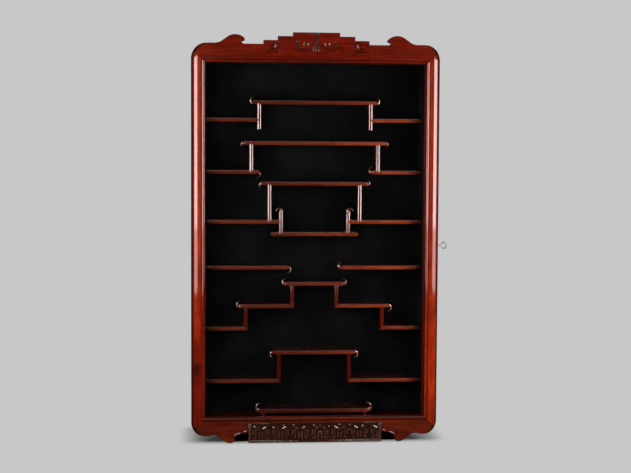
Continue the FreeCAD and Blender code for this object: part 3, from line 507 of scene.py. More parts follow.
def make_metal(name, bright, dull, roughness, painted_pale_shank=None):
    """Metal with a tarnish that follows the marks of use, and fine scratches; where a span in X is given,
    the metal left of it is painted pale and unmetallic, a painted reflection that lets the key's shank
    read as the bright background."""
    finish, tree, shader, place = new_finish(name, Metallic=1.0)
    use = node(tree, "ShaderNodeGroup", {"node_tree": handling}, Place=place, Size=6.0,
               Amount=1.0).outputs
    scratch = noise(tree, drawn_long(tree, place, 0.06), 1600.0, 2.0)
    tarnish = maths(tree, "ADD", use["Wear"], times(tree, use["Dust"], 0.5), clamp=True)
    colour = mix_colours(tree, tarnish, bright, dull)
    # Painted reflection: left of the span the key's shank is painted pale and unmetallic, to read as the
    # bright background.
    if painted_pale_shank:
        pale = between(tree, axes(tree, place)["X"], *painted_pale_shank)
        colour = mix_colours(tree, pale, colour, (0.62, 0.60, 0.60, 1))
        tree.links.new(maths(tree, "SUBTRACT", 1.0, pale), shader.inputs["Metallic"])
    tree.links.new(colour, shader.inputs["Base Color"])
    rough = times(tree, maths(tree, "SUBTRACT", scratch, 0.5), 0.25)
    rough = maths(tree, "ADD", roughness, rough)
    rough = maths(tree, "ADD", rough, times(tree, use["Wear"], 0.2), clamp=True)
    tree.links.new(rough, shader.inputs["Roughness"])
    bump_from(tree, shader, scratch, 0.15, 0.0001)
    return finish


def make_glass():
    """Clear pane with faint wiping marks; lamps shine straight through it."""
    finish, tree, shader, place = new_finish("clear_pane", Base_Color=(0.97, 0.985, 0.98, 1),
                                             Transmission_Weight=1.0, IOR=1.12,
                                             Specular_IOR_Level=0.35)
    wiping = noise(tree, turned(tree, place, (0, 30, 0), (0, 0, 0)), 5.0, 5.0)
    tree.links.new(times(tree, between(tree, wiping, 0.45, 0.9), 0.03), shader.inputs["Roughness"])
    clear = node(tree, "ShaderNodeBsdfTransparent", Color=(0.96, 0.97, 0.965, 1))
    path = tree.nodes.new("ShaderNodeLightPath").outputs
    through = maths(tree, "MAXIMUM", path["Is Shadow Ray"], path["Is Diffuse Ray"])
    mixed = mix_shaders(tree, through, shader, clear)
    tree.links.new(mixed.outputs[0], tree.nodes["Material Output"].inputs["Surface"])
    return finish


velvet = make_velvet()
pane_glass = make_glass()
aged_brass = make_metal("aged_brass", (0.62, 0.42, 0.17, 1), (0.22, 0.13, 0.05, 1), 0.32)
key_steel = make_metal("key_steel", (0.30, 0.30, 0.30, 1), (0.09, 0.085, 0.08, 1), 0.35,
                       painted_pale_shank=(0.2888, 0.2878))


# Door frame: one slab with the whole carved outline, sawn into its four members

# Height and radius of the door's upper and lower corners, and the width of its rounded arris.
TOP_CORNER, TOP_RADIUS = 885, 34
LOW_CORNER, LOW_RADIUS = 16.7, 30
ARRIS, SLIM_SHARE = 14.0, 0.14
BEAK, BEAK_REACH = (159, 892), 24


def door_outline():
    """Right half of the outline from the middle of the apron round to the middle of the crest."""
    apron = [(150, 23.5, "v"), (163, 21.6, "a"), (172, 18.6, "a"), (177.2, 14.5, "a"), (179.2, 7.0, "a"),
             (183, 2.2, "a"), (190, 0.9, "a"), (200, 4.6, "a"), (212, 14.2, "a"), (224, 19.3, "a"),
             (235, 17.4, "a"), (242, LOW_CORNER, "v")]
    sides = [(HALF_DOOR, LOW_CORNER, "v"), (HALF_DOOR, TOP_CORNER, "v"), (222, TOP_CORNER, "v")]
    hook = [(212, 887.4, "a"), (200, 895.3, "a"), (189, 902.0, "a"), (179, 903.9, "a"), (168, 902.0, "a"),
            (160.4, 897.4, "a"), (157.6, 892.6, "a"), (160.6, 890.4, "a"), (164.3, 888.6, "a"),
            (163.3, 885.2, "a"), (159.9, 883.5, "v")]
    steps = [(116.5, 883.5, "v"), (116.5, 892.0, "v"), (85, 892.0, "v"), (85, 901.0, "v"),
             (51.5, 901.0, "v"), (51.5, 909.4, "v")]
    return apron + sides + hook + steps


def door_slab():
    """Slab with the door's outline; its arris is broad on the stiles, slims round the corners to a
    small share on crest and apron, and is slimmest at the beaks of the hooks."""
    right = door_outline()
    left = [(-x, z, kind) for x, z, kind in reversed(right)]
    bm = bent_line("door_slab", [(x, DOOR_FRONT, z, kind) for x, z, kind in right + left], True, steps=5)
    for height, radius in ((TOP_CORNER, TOP_RADIUS), (LOW_CORNER, LOW_RADIUS)):
        tips = [v for v in bm.verts
                if abs(abs(v.co.x) - HALF_DOOR) < 0.01 and abs(v.co.z - height) < 0.01]
        bmesh.ops.contextual_create(bm, geom=bm.edges[:])
        ease_corners(bm, tips, radius, 14)
        bmesh.ops.delete(bm, geom=bm.faces[:], context="FACES_ONLY")
    face = bmesh.ops.contextual_create(bm, geom=bm.edges[:])["faces"]
    draw_out(bm, face, (0, DOOR_BACK - DOOR_FRONT, 0))
    bmesh.ops.recalc_face_normals(bm, faces=bm.faces[:])
    weights = bm.edges.layers.float.new("bevel_weight_edge")
    for edge in bm.edges:
        a, b = (v.co for v in edge.verts)
        if max(a.y, b.y) > DOOR_FRONT + 0.01:
            continue
        middle = (a + b) / 2
        if abs(middle.x) > HALF_DOOR - 0.1:
            share = 1.0
        else:
            lift = max(middle.z - (TOP_CORNER - TOP_RADIUS), LOW_CORNER + LOW_RADIUS - middle.z, 0)
            radius = TOP_RADIUS if middle.z > SIGHT_HIGH / 2 else LOW_RADIUS
            reach = max(abs(middle.x) - (HALF_DOOR - radius), 0)
            turn = 2 * math.atan2(lift, reach) / math.pi if reach > 0.001 else 1.0
            share = 1 - (1 - SLIM_SHARE) * turn * turn * (3 - 2 * turn)
            from_beak = math.hypot(abs(middle.x) - BEAK[0], middle.z - BEAK[1])
            share *= 0.5 + 0.5 * min(from_beak / BEAK_REACH, 1)
        edge[weights] = share
    mesh = bpy.data.meshes.new("door_slab")
    bm.to_mesh(mesh)
    bm.free()
    slab = bpy.data.objects.new("door_slab", mesh)
    bpy.context.scene.collection.objects.link(slab)
    plane = slab.modifiers.new("arris", "BEVEL")
    plane.limit_method = "WEIGHT"
    plane.width = ARRIS
    plane.segments = 9
    plane.profile = 0.5
    plane.use_clamp_overlap = False
    plane.offset_type = "OFFSET"
    bpy.context.view_layer.update()
    planed = bpy.data.meshes.new_from_object(slab.evaluated_get(bpy.context.evaluated_depsgraph_get()))
    bpy.data.objects.remove(slab)
    bpy.data.meshes.remove(mesh)
    return planed


BEAD_SECTION = [(0, -54.5), (0, -61.7), (6.0, -61.7), (6.0, -60.7), (8.2, -60.7), (8.2, DOOR_BACK),
                (5.0, DOOR_BACK), (5.0, -54.5)]
BEAD_ROUNDING = {1: 3.0, 2: 2.2}
OVERRUN = 20


def bead_run(length_axis):
    """Bead, quirk and glass rebate beside the opening, drawn out along an upright or level run.
    The section's first number counts outwards from the opening's edge."""
    if length_axis == "z":
        points = [Vector((HALF_SIGHT + u, y, SIGHT_LOW - OVERRUN)) for u, y in BEAD_SECTION]
        way = (0, 0, SIGHT_HIGH - SIGHT_LOW + 2 * OVERRUN)
    else:
        points = [Vector((-HALF_SIGHT - OVERRUN, y, SIGHT_HIGH + u)) for u, y in BEAD_SECTION]
        way = (2 * HALF_SIGHT + 2 * OVERRUN, 0, 0)
    bm = bmesh.new()
    section(bm, points)
    for index, amount in BEAD_ROUNDING.items():
        tip = min(bm.verts, key=lambda v: (v.co - points[index]).length)
        ease_corners(bm, [tip], amount, 5)
    draw_out(bm, bm.faces[:], way)
    return bm


def frame_member(slab_mesh, run, cuts, slab_cut, grooves=()):
    """Sawn member: its share of the slab, carved, with its run of the bead, mitred at both ends."""
    bm = bmesh.new()
    bm.from_mesh(slab_mesh)
    saw(bm, *slab_cut)
    for cut in cuts:
        saw(bm, *cut)
        saw(run, *cut)
    if grooves:
        gouge(bm, grooves)
    join_in(bm, run)
    return bm


def gouge(bm, paths):
    """Cuts round-bottomed grooves along paths into the face of a member."""
    mesh = bpy.data.meshes.new("blank")
    bmesh.ops.recalc_face_normals(bm, faces=bm.faces[:])
    bmesh.ops.triangulate(bm, faces=[f for f in bm.faces if len(f.verts) > 4])
    bm.to_mesh(mesh)
    blank = bpy.data.objects.new("blank", mesh)
    bpy.context.scene.collection.objects.link(blank)
    cutters = []
    for radius, depth, knots in paths:
        tool = bent_line("gouge", [(x, DOOR_FRONT - depth, z, kind) for x, z, kind in knots],
                         False, radius=radius, steps=5)
        bmesh.ops.recalc_face_normals(tool, faces=tool.faces[:])
        if tool.calc_volume(signed=True) < 0:
            bmesh.ops.reverse_faces(tool, faces=tool.faces[:])
        tool_mesh = bpy.data.meshes.new("gouge")
        tool.to_mesh(tool_mesh)
        tool.free()
        cutters.append(bpy.data.objects.new("gouge", tool_mesh))
        bpy.context.scene.collection.objects.link(cutters[-1])
        cut = blank.modifiers.new("gouge", "BOOLEAN")
        cut.operation = "DIFFERENCE"
        cut.solver = "EXACT"
        cut.object = cutters[-1]
    bpy.context.view_layer.update()
    carved = bpy.data.meshes.new_from_object(blank.evaluated_get(bpy.context.evaluated_depsgraph_get()))
    bm.clear()
    bm.from_mesh(carved)
    for helper in cutters + [blank]:
        bpy.data.objects.remove(helper)
    bpy.data.meshes.remove(carved)


def crest_paths():
    """Double fret lines and small curls of the crest, and three upright cuts at its middle."""
    half = [
        [(44.5, 889.2, "v"), (44.5, 868.2, "v"), (11, 868.2, "v")],
        [(40, 889.2, "v"), (40, 873, "v"), (11, 873, "v")],
        [(28, 878.5, "v"), (27, 885.5, "a"), (21.5, 886.5, "a"), (18.5, 882, "a"), (22.5, 878.5, "a")],
        [(113.2, 889, "v"), (113.2, 867.5, "v"), (83.5, 867.5, "v"), (83.5, 888, "v")],
        [(105, 874.5, "v"), (95, 873.8, "a"), (90.5, 878, "a"), (94, 882.6, "a"), (99, 881, "a")],
    ]
    paths = []
    for knots in half:
        paths.append((1.6, -0.1, knots))
        paths.append((1.6, -0.1, [(-x, z, kind) for x, z, kind in knots]))
    for x in (-7.4, -1.6, 4.7):
        paths.append((1.8, 0.0, [(x, 906, "v"), (x, 868, "v")]))
    return paths


def apron_paths():
    """Curls cut beside the plaque above each foot."""
    right = [(1.2, -0.2, [(150.5, 29.6, "v"), (154.5, 28.6, "a"), (159, 26.4, "a")]),
             (1.2, -0.2, [(167, 24.2, "v"), (173, 22.3, "a"), (178.2, 19.6, "a"), (181.4, 15.6, "a"),
                          (181.0, 11.2, "a")])]
    return right + [(r, d, [(-x, z, kind) for x, z, kind in k]) for r, d, k in right]


def make_door_frame():
    slab = door_slab()
    top_in, low_in = Vector((HALF_SIGHT, 0, SIGHT_HIGH)), Vector((HALF_SIGHT, 0, SIGHT_LOW))
    under_bead = 7.5
    stile_cuts = [(top_in, (-1, 0, 1)), (low_in, (-1, 0, -1))]
    stile_slab_cut = (Vector((HALF_SIGHT + under_bead, 0, 0)), (-1, 0, 0))
    right = frame_member(slab, bead_run("z"), stile_cuts, stile_slab_cut)
    left = frame_member(slab, bead_run("z"), stile_cuts, stile_slab_cut)
    flip(left)
    hand_over("stile_right", right, stile_wood_right, "door", ["door_stile_right"])
    hand_over("stile_left", left, stile_wood_left, "door", ["door_stile_left"])
    crest_cuts = [(top_in, (1, 0, -1)), (Vector((-HALF_SIGHT, 0, SIGHT_HIGH)), (-1, 0, -1))]
    crest_slab_cut = (Vector((0, 0, SIGHT_HIGH + under_bead)), (0, 0, -1))
    crest = frame_member(slab, bead_run("x"), crest_cuts, crest_slab_cut, crest_paths())
    hand_over("crest_rail", crest, crest_wood, "door", ["door_top_rail"])
    low_run = bead_run("x")
    bmesh.ops.scale(low_run, vec=(1, 1, -1), verts=low_run.verts[:])
    bmesh.ops.translate(low_run, verts=low_run.verts[:], vec=(0, 0, SIGHT_LOW + SIGHT_HIGH))
    apron_cuts = [(low_in, (1, 0, 1)), (Vector((-HALF_SIGHT, 0, SIGHT_LOW)), (-1, 0, 1))]
    apron_slab_cut = (Vector((0, 0, SIGHT_LOW - under_bead)), (0, 0, 1))
    apron = frame_member(slab, low_run, apron_cuts, apron_slab_cut, apron_paths())
    hand_over("apron_rail", apron, apron_wood, "door", ["door_bottom_rail"])
    bpy.data.meshes.remove(slab)


make_door_frame()


# Shelves and posts: rounded sections drawn out, with their ends worked by hand

# The rounded front of boards and posts, and the angles at which a board's free end is rounded.
NOSE_SHARE, NOSE_FLATNESS = 0.46, 0.5
END_ANGLES = (25, 45, 65, 82)


def nosed_section(bm, length_axis, start, middle, width):
    """Section of a board or post with its front rounded over, standing at the start of its run."""
    half = width / 2
    if length_axis == "x":
        points = [(start, SHELF_FRONT, middle - half), (start, SHELF_BACK, middle - half),
                  (start, SHELF_BACK, middle + half), (start, SHELF_FRONT, middle + half)]
    else:
        points = [(middle - half, SHELF_FRONT, start), (middle - half, SHELF_BACK, start),
                  (middle + half, SHELF_BACK, start), (middle + half, SHELF_FRONT, start)]
    section(bm, points)
    nose = width * NOSE_SHARE
    ease_corners(bm, [v for v in bm.verts if abs(v.co.y - SHELF_FRONT) < 0.01], nose, 5)
    front = [v for v in bm.verts if v.co.y < SHELF_FRONT + nose + 0.01]
    bmesh.ops.scale(bm, vec=(1, NOSE_FLATNESS, 1), verts=front,
                    space=Matrix.Translation((0, -SHELF_FRONT, 0)))


def end_face(bm, axis, side):
    """Outermost end face of a run."""
    ends = [face for face in bm.faces if len(face.verts) > 6]
    return max(ends, key=lambda face: side * face.calc_center_median()[axis])


def turn_end(bm, face, centre, angle, share, pivot_after):
    """Draws the end face a step round a centre and thins it towards its outer side."""
    grown = bmesh.ops.extrude_face_region(bm, geom=[face])["geom"]
    verts = kind_in(grown, bmesh.types.BMVert)
    bmesh.ops.rotate(bm, verts=verts, cent=centre, matrix=Matrix.Rotation(angle, 3, "Y"))
    bmesh.ops.scale(bm, vec=(share, 1, share), verts=verts, space=Matrix.Translation(-pivot_after))
    return kind_in(grown, bmesh.types.BMFace)[0]


# How thick a scroll still is, as a share of its radius, at each angle round its curl, and how its
# blunt tip is turned and drawn in.
SCROLL_SHARES = {-72: 0.903, -54: 0.819, -36: 0.7245, -18: 0.63, 0: 0.5355, 20: 0.42, 40: 0.3255,
                 60: 0.2625, 80: 0.2205, 100: 0.189}
TIP_TURN, TIP_SHARE = 5, 0.45


def work_scroll(bm, side, rise, tip_x, middle, radius, last):
    """Curls a board's end up or down round a small circle, thinning it to a blunt tip."""
    centre = Vector((tip_x - side * radius, 0, middle + rise * (radius - BOARD / 2)))
    face = end_face(bm, 0, side)
    thick, before = BOARD, -90
    for after in [angle for angle in SCROLL_SHARES if angle <= last]:
        wanted = SCROLL_SHARES[after] * radius
        turn = math.radians(after - before)
        out = Vector((centre.x + side * radius * math.cos(math.radians(after)), 0,
                      centre.z + rise * radius * math.sin(math.radians(after))))
        face = turn_end(bm, face, centre, -side * rise * turn, wanted / thick, out)
        thick, before = wanted, after
    grown = bmesh.ops.extrude_face_region(bm, geom=[face])["geom"]
    cap = kind_in(grown, bmesh.types.BMVert)
    bmesh.ops.rotate(bm, verts=cap, cent=centre,
                     matrix=Matrix.Rotation(-side * rise * math.radians(TIP_TURN), 3, "Y"))
    tip = sum((v.co for v in cap), Vector()) / len(cap)
    bmesh.ops.scale(bm, vec=(TIP_SHARE, 1, TIP_SHARE), verts=cap,
                    space=Matrix.Translation(-Vector((tip.x, 0, tip.z))))


def work_nose(bm, side, middle):
    """Rounds a board's end over."""
    half = BOARD / 2
    face = end_face(bm, 0, side)
    was_x, was_share = 0.0, 1.0
    for angle in END_ANGLES:
        x = half * math.sin(math.radians(angle))
        share = math.cos(math.radians(angle))
        face = draw_out(bm, [face], (side * (x - was_x), 0, 0))[0]
        bmesh.ops.scale(bm, vec=(1, 1, share / was_share), verts=face.verts[:],
                        space=Matrix.Translation((0, 0, -middle)))
        was_x, was_share = x, share


# Each scroll: whether it rises or falls, its radius as a share of the board, its last angle.
SCROLLS = {"up": (1, 0.9, 100), "down": (-1, 0.9, 100), "small_up": (1, 0.74, 80),
           "small_down": (-1, 0.74, 80), "tray_up": (1, 1.3, 100)}
# How far pieces reach into each other, the straight stub that every worked end starts from, and
# what boards and posts have to spare at a mitre before it is sawn.
LAP, TENON, STUB = 3.0, 6.0, 1.5
BOARD_SPARE, POST_SPARE = 20, 15


def make_shelf(name, ends):
    """Board between the ends that its solid has; ends are left and right."""
    low, high = corners_of(name)
    rises = {SCROLLS[end][0] for end in ends if end in SCROLLS}
    middle = (low.z + high.z) / 2
    if rises == {1}:
        middle = low.z + BOARD / 2
    elif rises == {-1}:
        middle = high.z - BOARD / 2
    starts = []
    for end, x, side in ((ends[0], low.x, -1), (ends[1], high.x, 1)):
        if end in SCROLLS:
            starts.append(x - side * BOARD * SCROLLS[end][1])
        elif end == "nose":
            starts.append(x - side * BOARD / 2)
        elif end == "post":
            starts.append(x + side * TENON)
        elif end == "mitre":
            starts.append(x + side * BOARD_SPARE)
        else:
            starts.append(x)
    bm = bmesh.new()
    nosed_section(bm, "x", starts[0] + STUB, middle, BOARD)
    draw_out(bm, bm.faces[:], (starts[1] - starts[0] - 2 * STUB, 0, 0))
    bmesh.ops.recalc_face_normals(bm, faces=bm.faces[:])
    for side in (-1, 1):
        draw_out(bm, [end_face(bm, 0, side)], (side * STUB, 0, 0))
    for end, x, side in ((ends[0], low.x, -1), (ends[1], high.x, 1)):
        if end in SCROLLS:
            rise, share, last = SCROLLS[end]
            work_scroll(bm, side, rise, x, middle, BOARD * share, last)
        elif end == "nose":
            work_nose(bm, side, middle)
        elif end == "mitre":
            saw(bm, Vector((x, 0, middle - BOARD / 2)), Vector((side * BOARD, 0, POST)))
    hand_over("board_" + name, bm, shelf_wood, "case", [name], sharp=40)


SHELVES = {
    "top_bridge_shelf": ("up", "up"), "upper_centre_shelf": ("small_down", "small_down"),
    "middle_centre_shelf": ("small_down", "small_up"), "hanging_centre_shelf": ("nose", "nose"),
    "lower_centre_shelf": ("up", "up"), "bottom_centre_shelf": ("down", "down"),
    "first_side_shelf_left": ("wall", "post"), "first_side_shelf_right": ("post", "wall"),
    "second_side_shelf_left": ("wall", "down"), "second_side_shelf_right": ("up", "wall"),
    "third_side_shelf_left": ("wall", "post"), "third_side_shelf_right": ("post", "wall"),
    "fourth_side_shelf_left": ("wall", "down"), "fourth_side_shelf_right": ("up", "wall"),
    "step_shelf_left": ("up", "mitre"), "step_shelf_right": ("mitre", "down"),
    "fifth_side_shelf_left": ("wall", "mitre"), "fifth_side_shelf_right": ("mitre", "wall"),
    "sixth_side_shelf_left": ("wall", "mitre"), "sixth_side_shelf_right": ("mitre", "wall"),
    "floor_tray": ("tray_up", "tray_up"),
}


def nosed_post(low, high, middle):
    """Post with its front rounded over."""
    bm = bmesh.new()
    nosed_section(bm, "z", low, middle, POST)
    draw_out(bm, bm.faces[:], (0, 0, high - low))
    bmesh.ops.recalc_face_normals(bm, faces=bm.faces[:])
    return bm


def finish_post(name, suffix, bm):
    hand_over(name + suffix, bm, post_wood, "case", [name], sharp=40)


HOOK_RADIUS, HOOK_TURN = POST * 0.9, 18.5
HOOK_THICKNESS = (7.4, 6.8, 6.2, 5.6, 5.0, 4.2, 3.5, 2.9, 2.4, 2.0)


def make_hooked_post(name, side):
    """Post that stands beside the hanging shelf, its head curled outwards."""
    low, high = corners_of(name)
    inner = low.x if side > 0 else high.x
    bm = nosed_post(low.z - LAP, high.z - HOOK_RADIUS - STUB, inner + side * POST / 2)
    face = draw_out(bm, [end_face(bm, 2, 1)], (0, 0, STUB))[0]
    centre = Vector((inner + side * HOOK_RADIUS, 0, high.z - HOOK_RADIUS))
    thick = POST
    for step, wanted in enumerate(HOOK_THICKNESS, 1):
        angle = math.radians(180 - HOOK_TURN * step)
        out = Vector((centre.x + side * HOOK_RADIUS * math.cos(angle), 0,
                      centre.z + HOOK_RADIUS * math.sin(angle)))
        face = turn_end(bm, face, centre, side * math.radians(HOOK_TURN), wanted / thick, out)
        thick = wanted
    finish_post(name, "_curled", bm)


def make_posts():
    for name in ("upper_centre_post_left", "upper_centre_post_right",
                 "middle_centre_post_left", "middle_centre_post_right"):
        low, high = corners_of(name)
        finish_post(name, "_turned", nosed_post(low.z - LAP, high.z + LAP, (low.x + high.x) / 2))
    for name in ("top_bridge_posts", "floor_tray_feet"):
        low, high = corners_of(name)
        pair = bmesh.new()
        for side, x in ((-1, low.x), (1, high.x)):
            join_in(pair, nosed_post(low.z, high.z + LAP, x - side * POST / 2))
        finish_post(name, "_pair", pair)
    for part in ("lower_centre_post", "step_post", "bottom_centre_post"):
        for word, side in (("_left", -1), ("_right", 1)):
            low, high = corners_of(part + word)
            bm = nosed_post(low.z - POST_SPARE, high.z + LAP, (low.x + high.x) / 2)
            inner = low.x if side > 0 else high.x
            saw(bm, Vector((inner, 0, low.z)), Vector((side * BOARD, 0, -POST)))
            finish_post(part + word, "_mitred", bm)
    make_hooked_post("hooked_post_left", -1)
    make_hooked_post("hooked_post_right", 1)


for shelf_name, shelf_ends in SHELVES.items():
    make_shelf(shelf_name, shelf_ends)
make_posts()


# Plaque: a board with mouldings and a low relief of squared scrolls

HALF_PLAQUE, PLAQUE_LOW, PLAQUE_HIGH = 148.5, 2.5, 46.0
FIELD = DOOR_FRONT - 5.0
BORDER_WIDE, LOW_BORDER, LOW_BEAD = 6, 3.0, (4.2, 5.8)
LET_IN = 1.0
FRET_RADIUS, FRET_FLATNESS = 2.7, 0.7
# Bosses by their x, z and size, and flat lumps on the low border by x and half width.
BOSS_SHARES = (0.7, 0.66, 0.66)
LUMP_AT, LUMP_DEEP, LUMP_TALL = 5.2, 1.7, 2.6
BOSSES = [(-135, 39, 4.2), (-93, 37, 4.2), (-70.2, 41.4, 3.8), (-48.4, 42, 3.8), (-25, 37.6, 4.0),
          (-2.7, 40.7, 3.8), (10.7, 39.6, 3.2), (30.8, 38.1, 3.8), (54.3, 42.4, 3.8), (77.1, 41.8, 3.8),
          (105.9, 39, 4.2), (11, 26, 3.4), (54, 32, 2.8), (-40, 33, 3.0), (77, 30, 2.6), (115, 29, 2.6),
          (114, 22, 2.4), (112.5, 15, 2.4), (-7, 22, 2.4), (127, 37, 3.0), (-112, 36, 2.6)]
LUMPS = [(-85, 9.5), (-48, 8.5), (45, 12.5), (75, 6.5)]


def fret_paths():
    """Squared scrolls side by side, each a hooked upright with two short bars."""
    rows = []
    for index, x in enumerate(range(-132, 140, 22)):
        away = 1 if index % 2 else -1
        rows.append([(x - away * 6, 34), (x, 38), (x, 13), (x + away * 6, 13)])
        rows.append([(x + away * 5.6, 31), (x + away * 5.6, 20)])
        rows.append([(x - away * 7.5, 27), (x - away * 7.5, 12)])
    return rows


def rounded_lump(x, z, wide, deep, tall):
    """Flat rounded boss on the plaque's field."""
    boss = bmesh.new()
    bmesh.ops.create_icosphere(boss, subdivisions=3, radius=1.0)
    bmesh.ops.scale(boss, vec=(wide, deep, tall), verts=boss.verts[:])
    bmesh.ops.translate(boss, verts=boss.verts[:], vec=(x, FIELD - 0.2, z))
    return boss


def flat_board(x0, x1, z0, z1, back, front, ease, steps):
    """Board that faces the front, with the edges of its face rounded."""
    bm = bmesh.new()
    section(bm, [(x0, back, z0), (x1, back, z0), (x1, back, z1), (x0, back, z1)])
    draw_out(bm, bm.faces[:], (0, front - back, 0))
    bmesh.ops.recalc_face_normals(bm, faces=bm.faces[:])
    ease_edges(bm, [e for e in bm.edges if all(v.co.y < front + 0.01 for v in e.verts)], ease, steps)
    return bm


def make_plaque():
    half, low, high = HALF_PLAQUE, PLAQUE_LOW, PLAQUE_HIGH
    bm = flat_board(-half, half, low, high, DOOR_FRONT, FIELD, 0.6, 2)
    borders = [(-half, -half + BORDER_WIDE, low, high, 1.6, 1.2),
               (half - BORDER_WIDE, half, low, high, 1.6, 1.2),
               (-half, half, low, low + LOW_BORDER, 2.0, 0.6),
               (-half, half, low + LOW_BEAD[0], low + LOW_BEAD[1], 1.6, 0.7)]
    for x0, x1, z0, z1, proud, ease in borders:
        join_in(bm, flat_board(x0, x1, z0, z1, FIELD + LET_IN, FIELD - proud, ease, 3))
    for path in fret_paths():
        bar = bent_line("fret", [(x, 0, z, "v") for x, z in path], False, radius=FRET_RADIUS)
        bmesh.ops.scale(bar, vec=(1, FRET_FLATNESS, 1), verts=bar.verts[:])
        bmesh.ops.translate(bar, verts=bar.verts[:], vec=(0, FIELD, 0))
        join_in(bm, bar)
    for x, z, size in BOSSES:
        join_in(bm, rounded_lump(x, z, *[size * share for share in BOSS_SHARES]))
    for x, wide in LUMPS:
        join_in(bm, rounded_lump(x, LUMP_AT, wide, LUMP_DEEP, LUMP_TALL))
    hand_over("fret_plaque", bm, plaque_wood, "door", ["carved_plaque"], sharp=40)


make_plaque()


# The solids that keep their own shape get their finishes

FINISHES = {
    "case_side_left": case_wood_upright, "case_side_right": case_wood_upright,
    "case_back_panel": case_wood_upright, "case_top_board": case_wood_level,
    "case_bottom_board": case_floor_shade, "plinth_frame": plinth_shade,
    "glazing_beads": case_wood_upright, "velvet_lining": velvet, "glass_pane": pane_glass,
    "key": key_steel,
}
for name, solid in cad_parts.items():
    if solid.hide_render:
        continue
    finish = FINISHES.get(name, aged_brass)
    solid.data.materials.clear()
    solid.data.materials.append(finish)


# Studio: pale floor, even background, two soft boxes with dimmer feet and a soft light above

BACKGROUND = 0.5776
FLOOR_DROP = 0.0003
# Round this middle and half size the floor shows its shadow; past the fade it is background.
SHADOW_MIDDLE, SHADOW_HALF, SHADOW_FADE = 0.035, (0.255, 0.06, 0), 0.055
FILL, FILL_BEHIND, GLINT_BEHIND = 0.10, 0.24, 0.1
# Each soft box is a bright upper part over a dimmer foot: middle height, height and share of power.
BOX_PARTS = (("", 0.69, 0.52, 0.776), ("_foot", 0.335, 0.19, 0.125))
PHOTO_WIDTH, FOCAL_PIXELS, SENSOR = 631, 1272.255, 36.0
CAMERA_PLACE = (-0.22275, -2.8625, 0.6302)


def seen_straight(tree):
    """1 for what the camera sees directly or straight through the pane, 0 for mirrored rays;
    and the mirrored rays themselves."""
    path = tree.nodes.new("ShaderNodeLightPath").outputs
    unmirrored = maths(tree, "LESS_THAN", path["Glossy Depth"], 0.5)
    through = times(tree, path["Is Transmission Ray"], unmirrored)
    seen = maths(tree, "MAXIMUM", path["Is Camera Ray"], through)
    mirrored = maths(tree, "SUBTRACT", path["Is Glossy Ray"], seen, clamp=True)
    return seen, mirrored, path["Is Diffuse Ray"]


def make_floor():
    bm = bmesh.new()
    bmesh.ops.create_circle(bm, cap_ends=True, segments=96, radius=14.0)
    bmesh.ops.translate(bm, verts=bm.verts[:], vec=(0, 0, -FLOOR_DROP))
    mesh = bpy.data.meshes.new("studio_floor")
    bm.to_mesh(mesh)
    bm.free()
    floor = bpy.data.objects.new("studio_floor", mesh)
    bpy.context.scene.collection.objects.link(floor)
    finish, tree, shader, place = new_finish("pale_floor", Base_Color=(0.6, 0.6, 0.6, 1), Roughness=0.9,
                                             Specular_IOR_Level=0.1)
    beside = vector_maths(tree, "ABSOLUTE", turned(tree, place, (0, 0, 0), (0, -SHADOW_MIDDLE, 0)))
    beside = vector_maths(tree, "SUBTRACT", beside, SHADOW_HALF)
    away = vector_maths(tree, "LENGTH", vector_maths(tree, "MAXIMUM", beside, (0, 0, 0)), output="Value")
    far = between(tree, away, 0.0, SHADOW_FADE)
    glow = node(tree, "ShaderNodeEmission", Color=(BACKGROUND, BACKGROUND, BACKGROUND, 1), Strength=1.0)
    dark = node(tree, "ShaderNodeEmission", Color=(0, 0, 0, 1), Strength=0.0)
    seen, mirrored, _ = seen_straight(tree)
    lit = mix_shaders(tree, times(tree, far, seen), shader, glow)
    lit = mix_shaders(tree, mirrored, lit, dark)
    tree.links.new(lit.outputs[0], tree.nodes["Material Output"].inputs["Surface"])
    mesh.materials.append(finish)


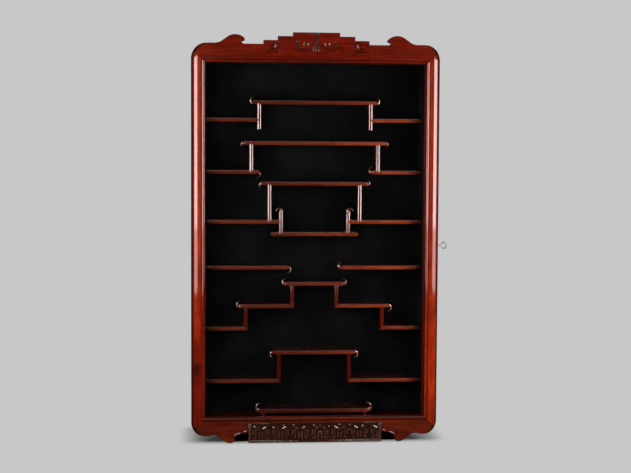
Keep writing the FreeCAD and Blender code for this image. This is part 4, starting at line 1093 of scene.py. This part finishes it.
def make_world():
    """Even pale background; in its place polished faces see a dark studio with a faint fill behind."""
    world = bpy.data.worlds.new("studio")
    world.use_nodes = True
    tree = world.node_tree
    seen, mirrored, diffuse = seen_straight(tree)
    direction = tree.nodes.new("ShaderNodeTexCoord").outputs["Generated"]
    behind = between(tree, axes(tree, direction)["Y"], 0.2, 0.8)
    fill = maths(tree, "ADD", times(tree, behind, FILL_BEHIND), FILL)
    level = maths(tree, "ADD", times(tree, seen, BACKGROUND), times(tree, diffuse, fill))
    glint = times(tree, mirrored, times(tree, behind, GLINT_BEHIND))
    background = tree.nodes["Background"]
    background.inputs["Color"].default_value = (1, 1, 1, 1)
    tree.links.new(maths(tree, "ADD", level, glint), background.inputs["Strength"])
    bpy.context.scene.world = world


def soft_light(name, place, aim, width, tall, power):
    """Soft rectangular light that faces its aim."""
    lamp = bpy.data.lights.new(name, "AREA")
    lamp.shape = "RECTANGLE"
    lamp.size = width
    lamp.size_y = tall
    lamp.energy = power
    holder = bpy.data.objects.new(name, lamp)
    holder.visible_camera = False
    bpy.context.scene.collection.objects.link(holder)
    place = Vector(place)
    turn = (Vector(aim) - place).to_track_quat("-Z", "Y").to_matrix().to_4x4()
    holder.matrix_world = Matrix.Translation(place) @ turn


def make_lights():
    for name, x, y, width, power in (("soft_box_right", 0.83, -0.78, 0.80, 9.0),
                                     ("soft_box_left", -0.65, -0.84, 0.75, 8.0)):
        for suffix, height, tall, share in BOX_PARTS:
            soft_light(name + suffix, (x, y, height), (0, 0, height), width, tall, power * share)
    soft_light("light_above", (0.1, -0.5, 2.3), (0.1, -0.5, 0), 1.6, 1.2, 3.5)


def make_camera():
    """Camera at the photograph's place: a long lens a little left of the middle, looking down."""
    lens = bpy.data.cameras.new("camera")
    lens.sensor_fit = "HORIZONTAL"
    lens.sensor_width = SENSOR
    lens.lens = FOCAL_PIXELS / PHOTO_WIDTH * SENSOR
    lens.clip_start = 0.05
    lens.clip_end = 60.0
    camera = bpy.data.objects.new("camera", lens)
    bpy.context.scene.collection.objects.link(camera)
    yaw, pitch, roll = 0.07909, 0.05998, 0.00502
    turn = (Matrix.Rotation(-yaw, 4, "Z") @ Matrix.Rotation(math.pi / 2 - pitch, 4, "X")
            @ Matrix.Rotation(roll, 4, "Z"))
    camera.matrix_world = Matrix.Translation(CAMERA_PLACE) @ turn
    bpy.context.scene.camera = camera


make_floor()
make_world()
make_lights()
make_camera()
bpy.context.scene.view_settings.view_transform = "Standard"
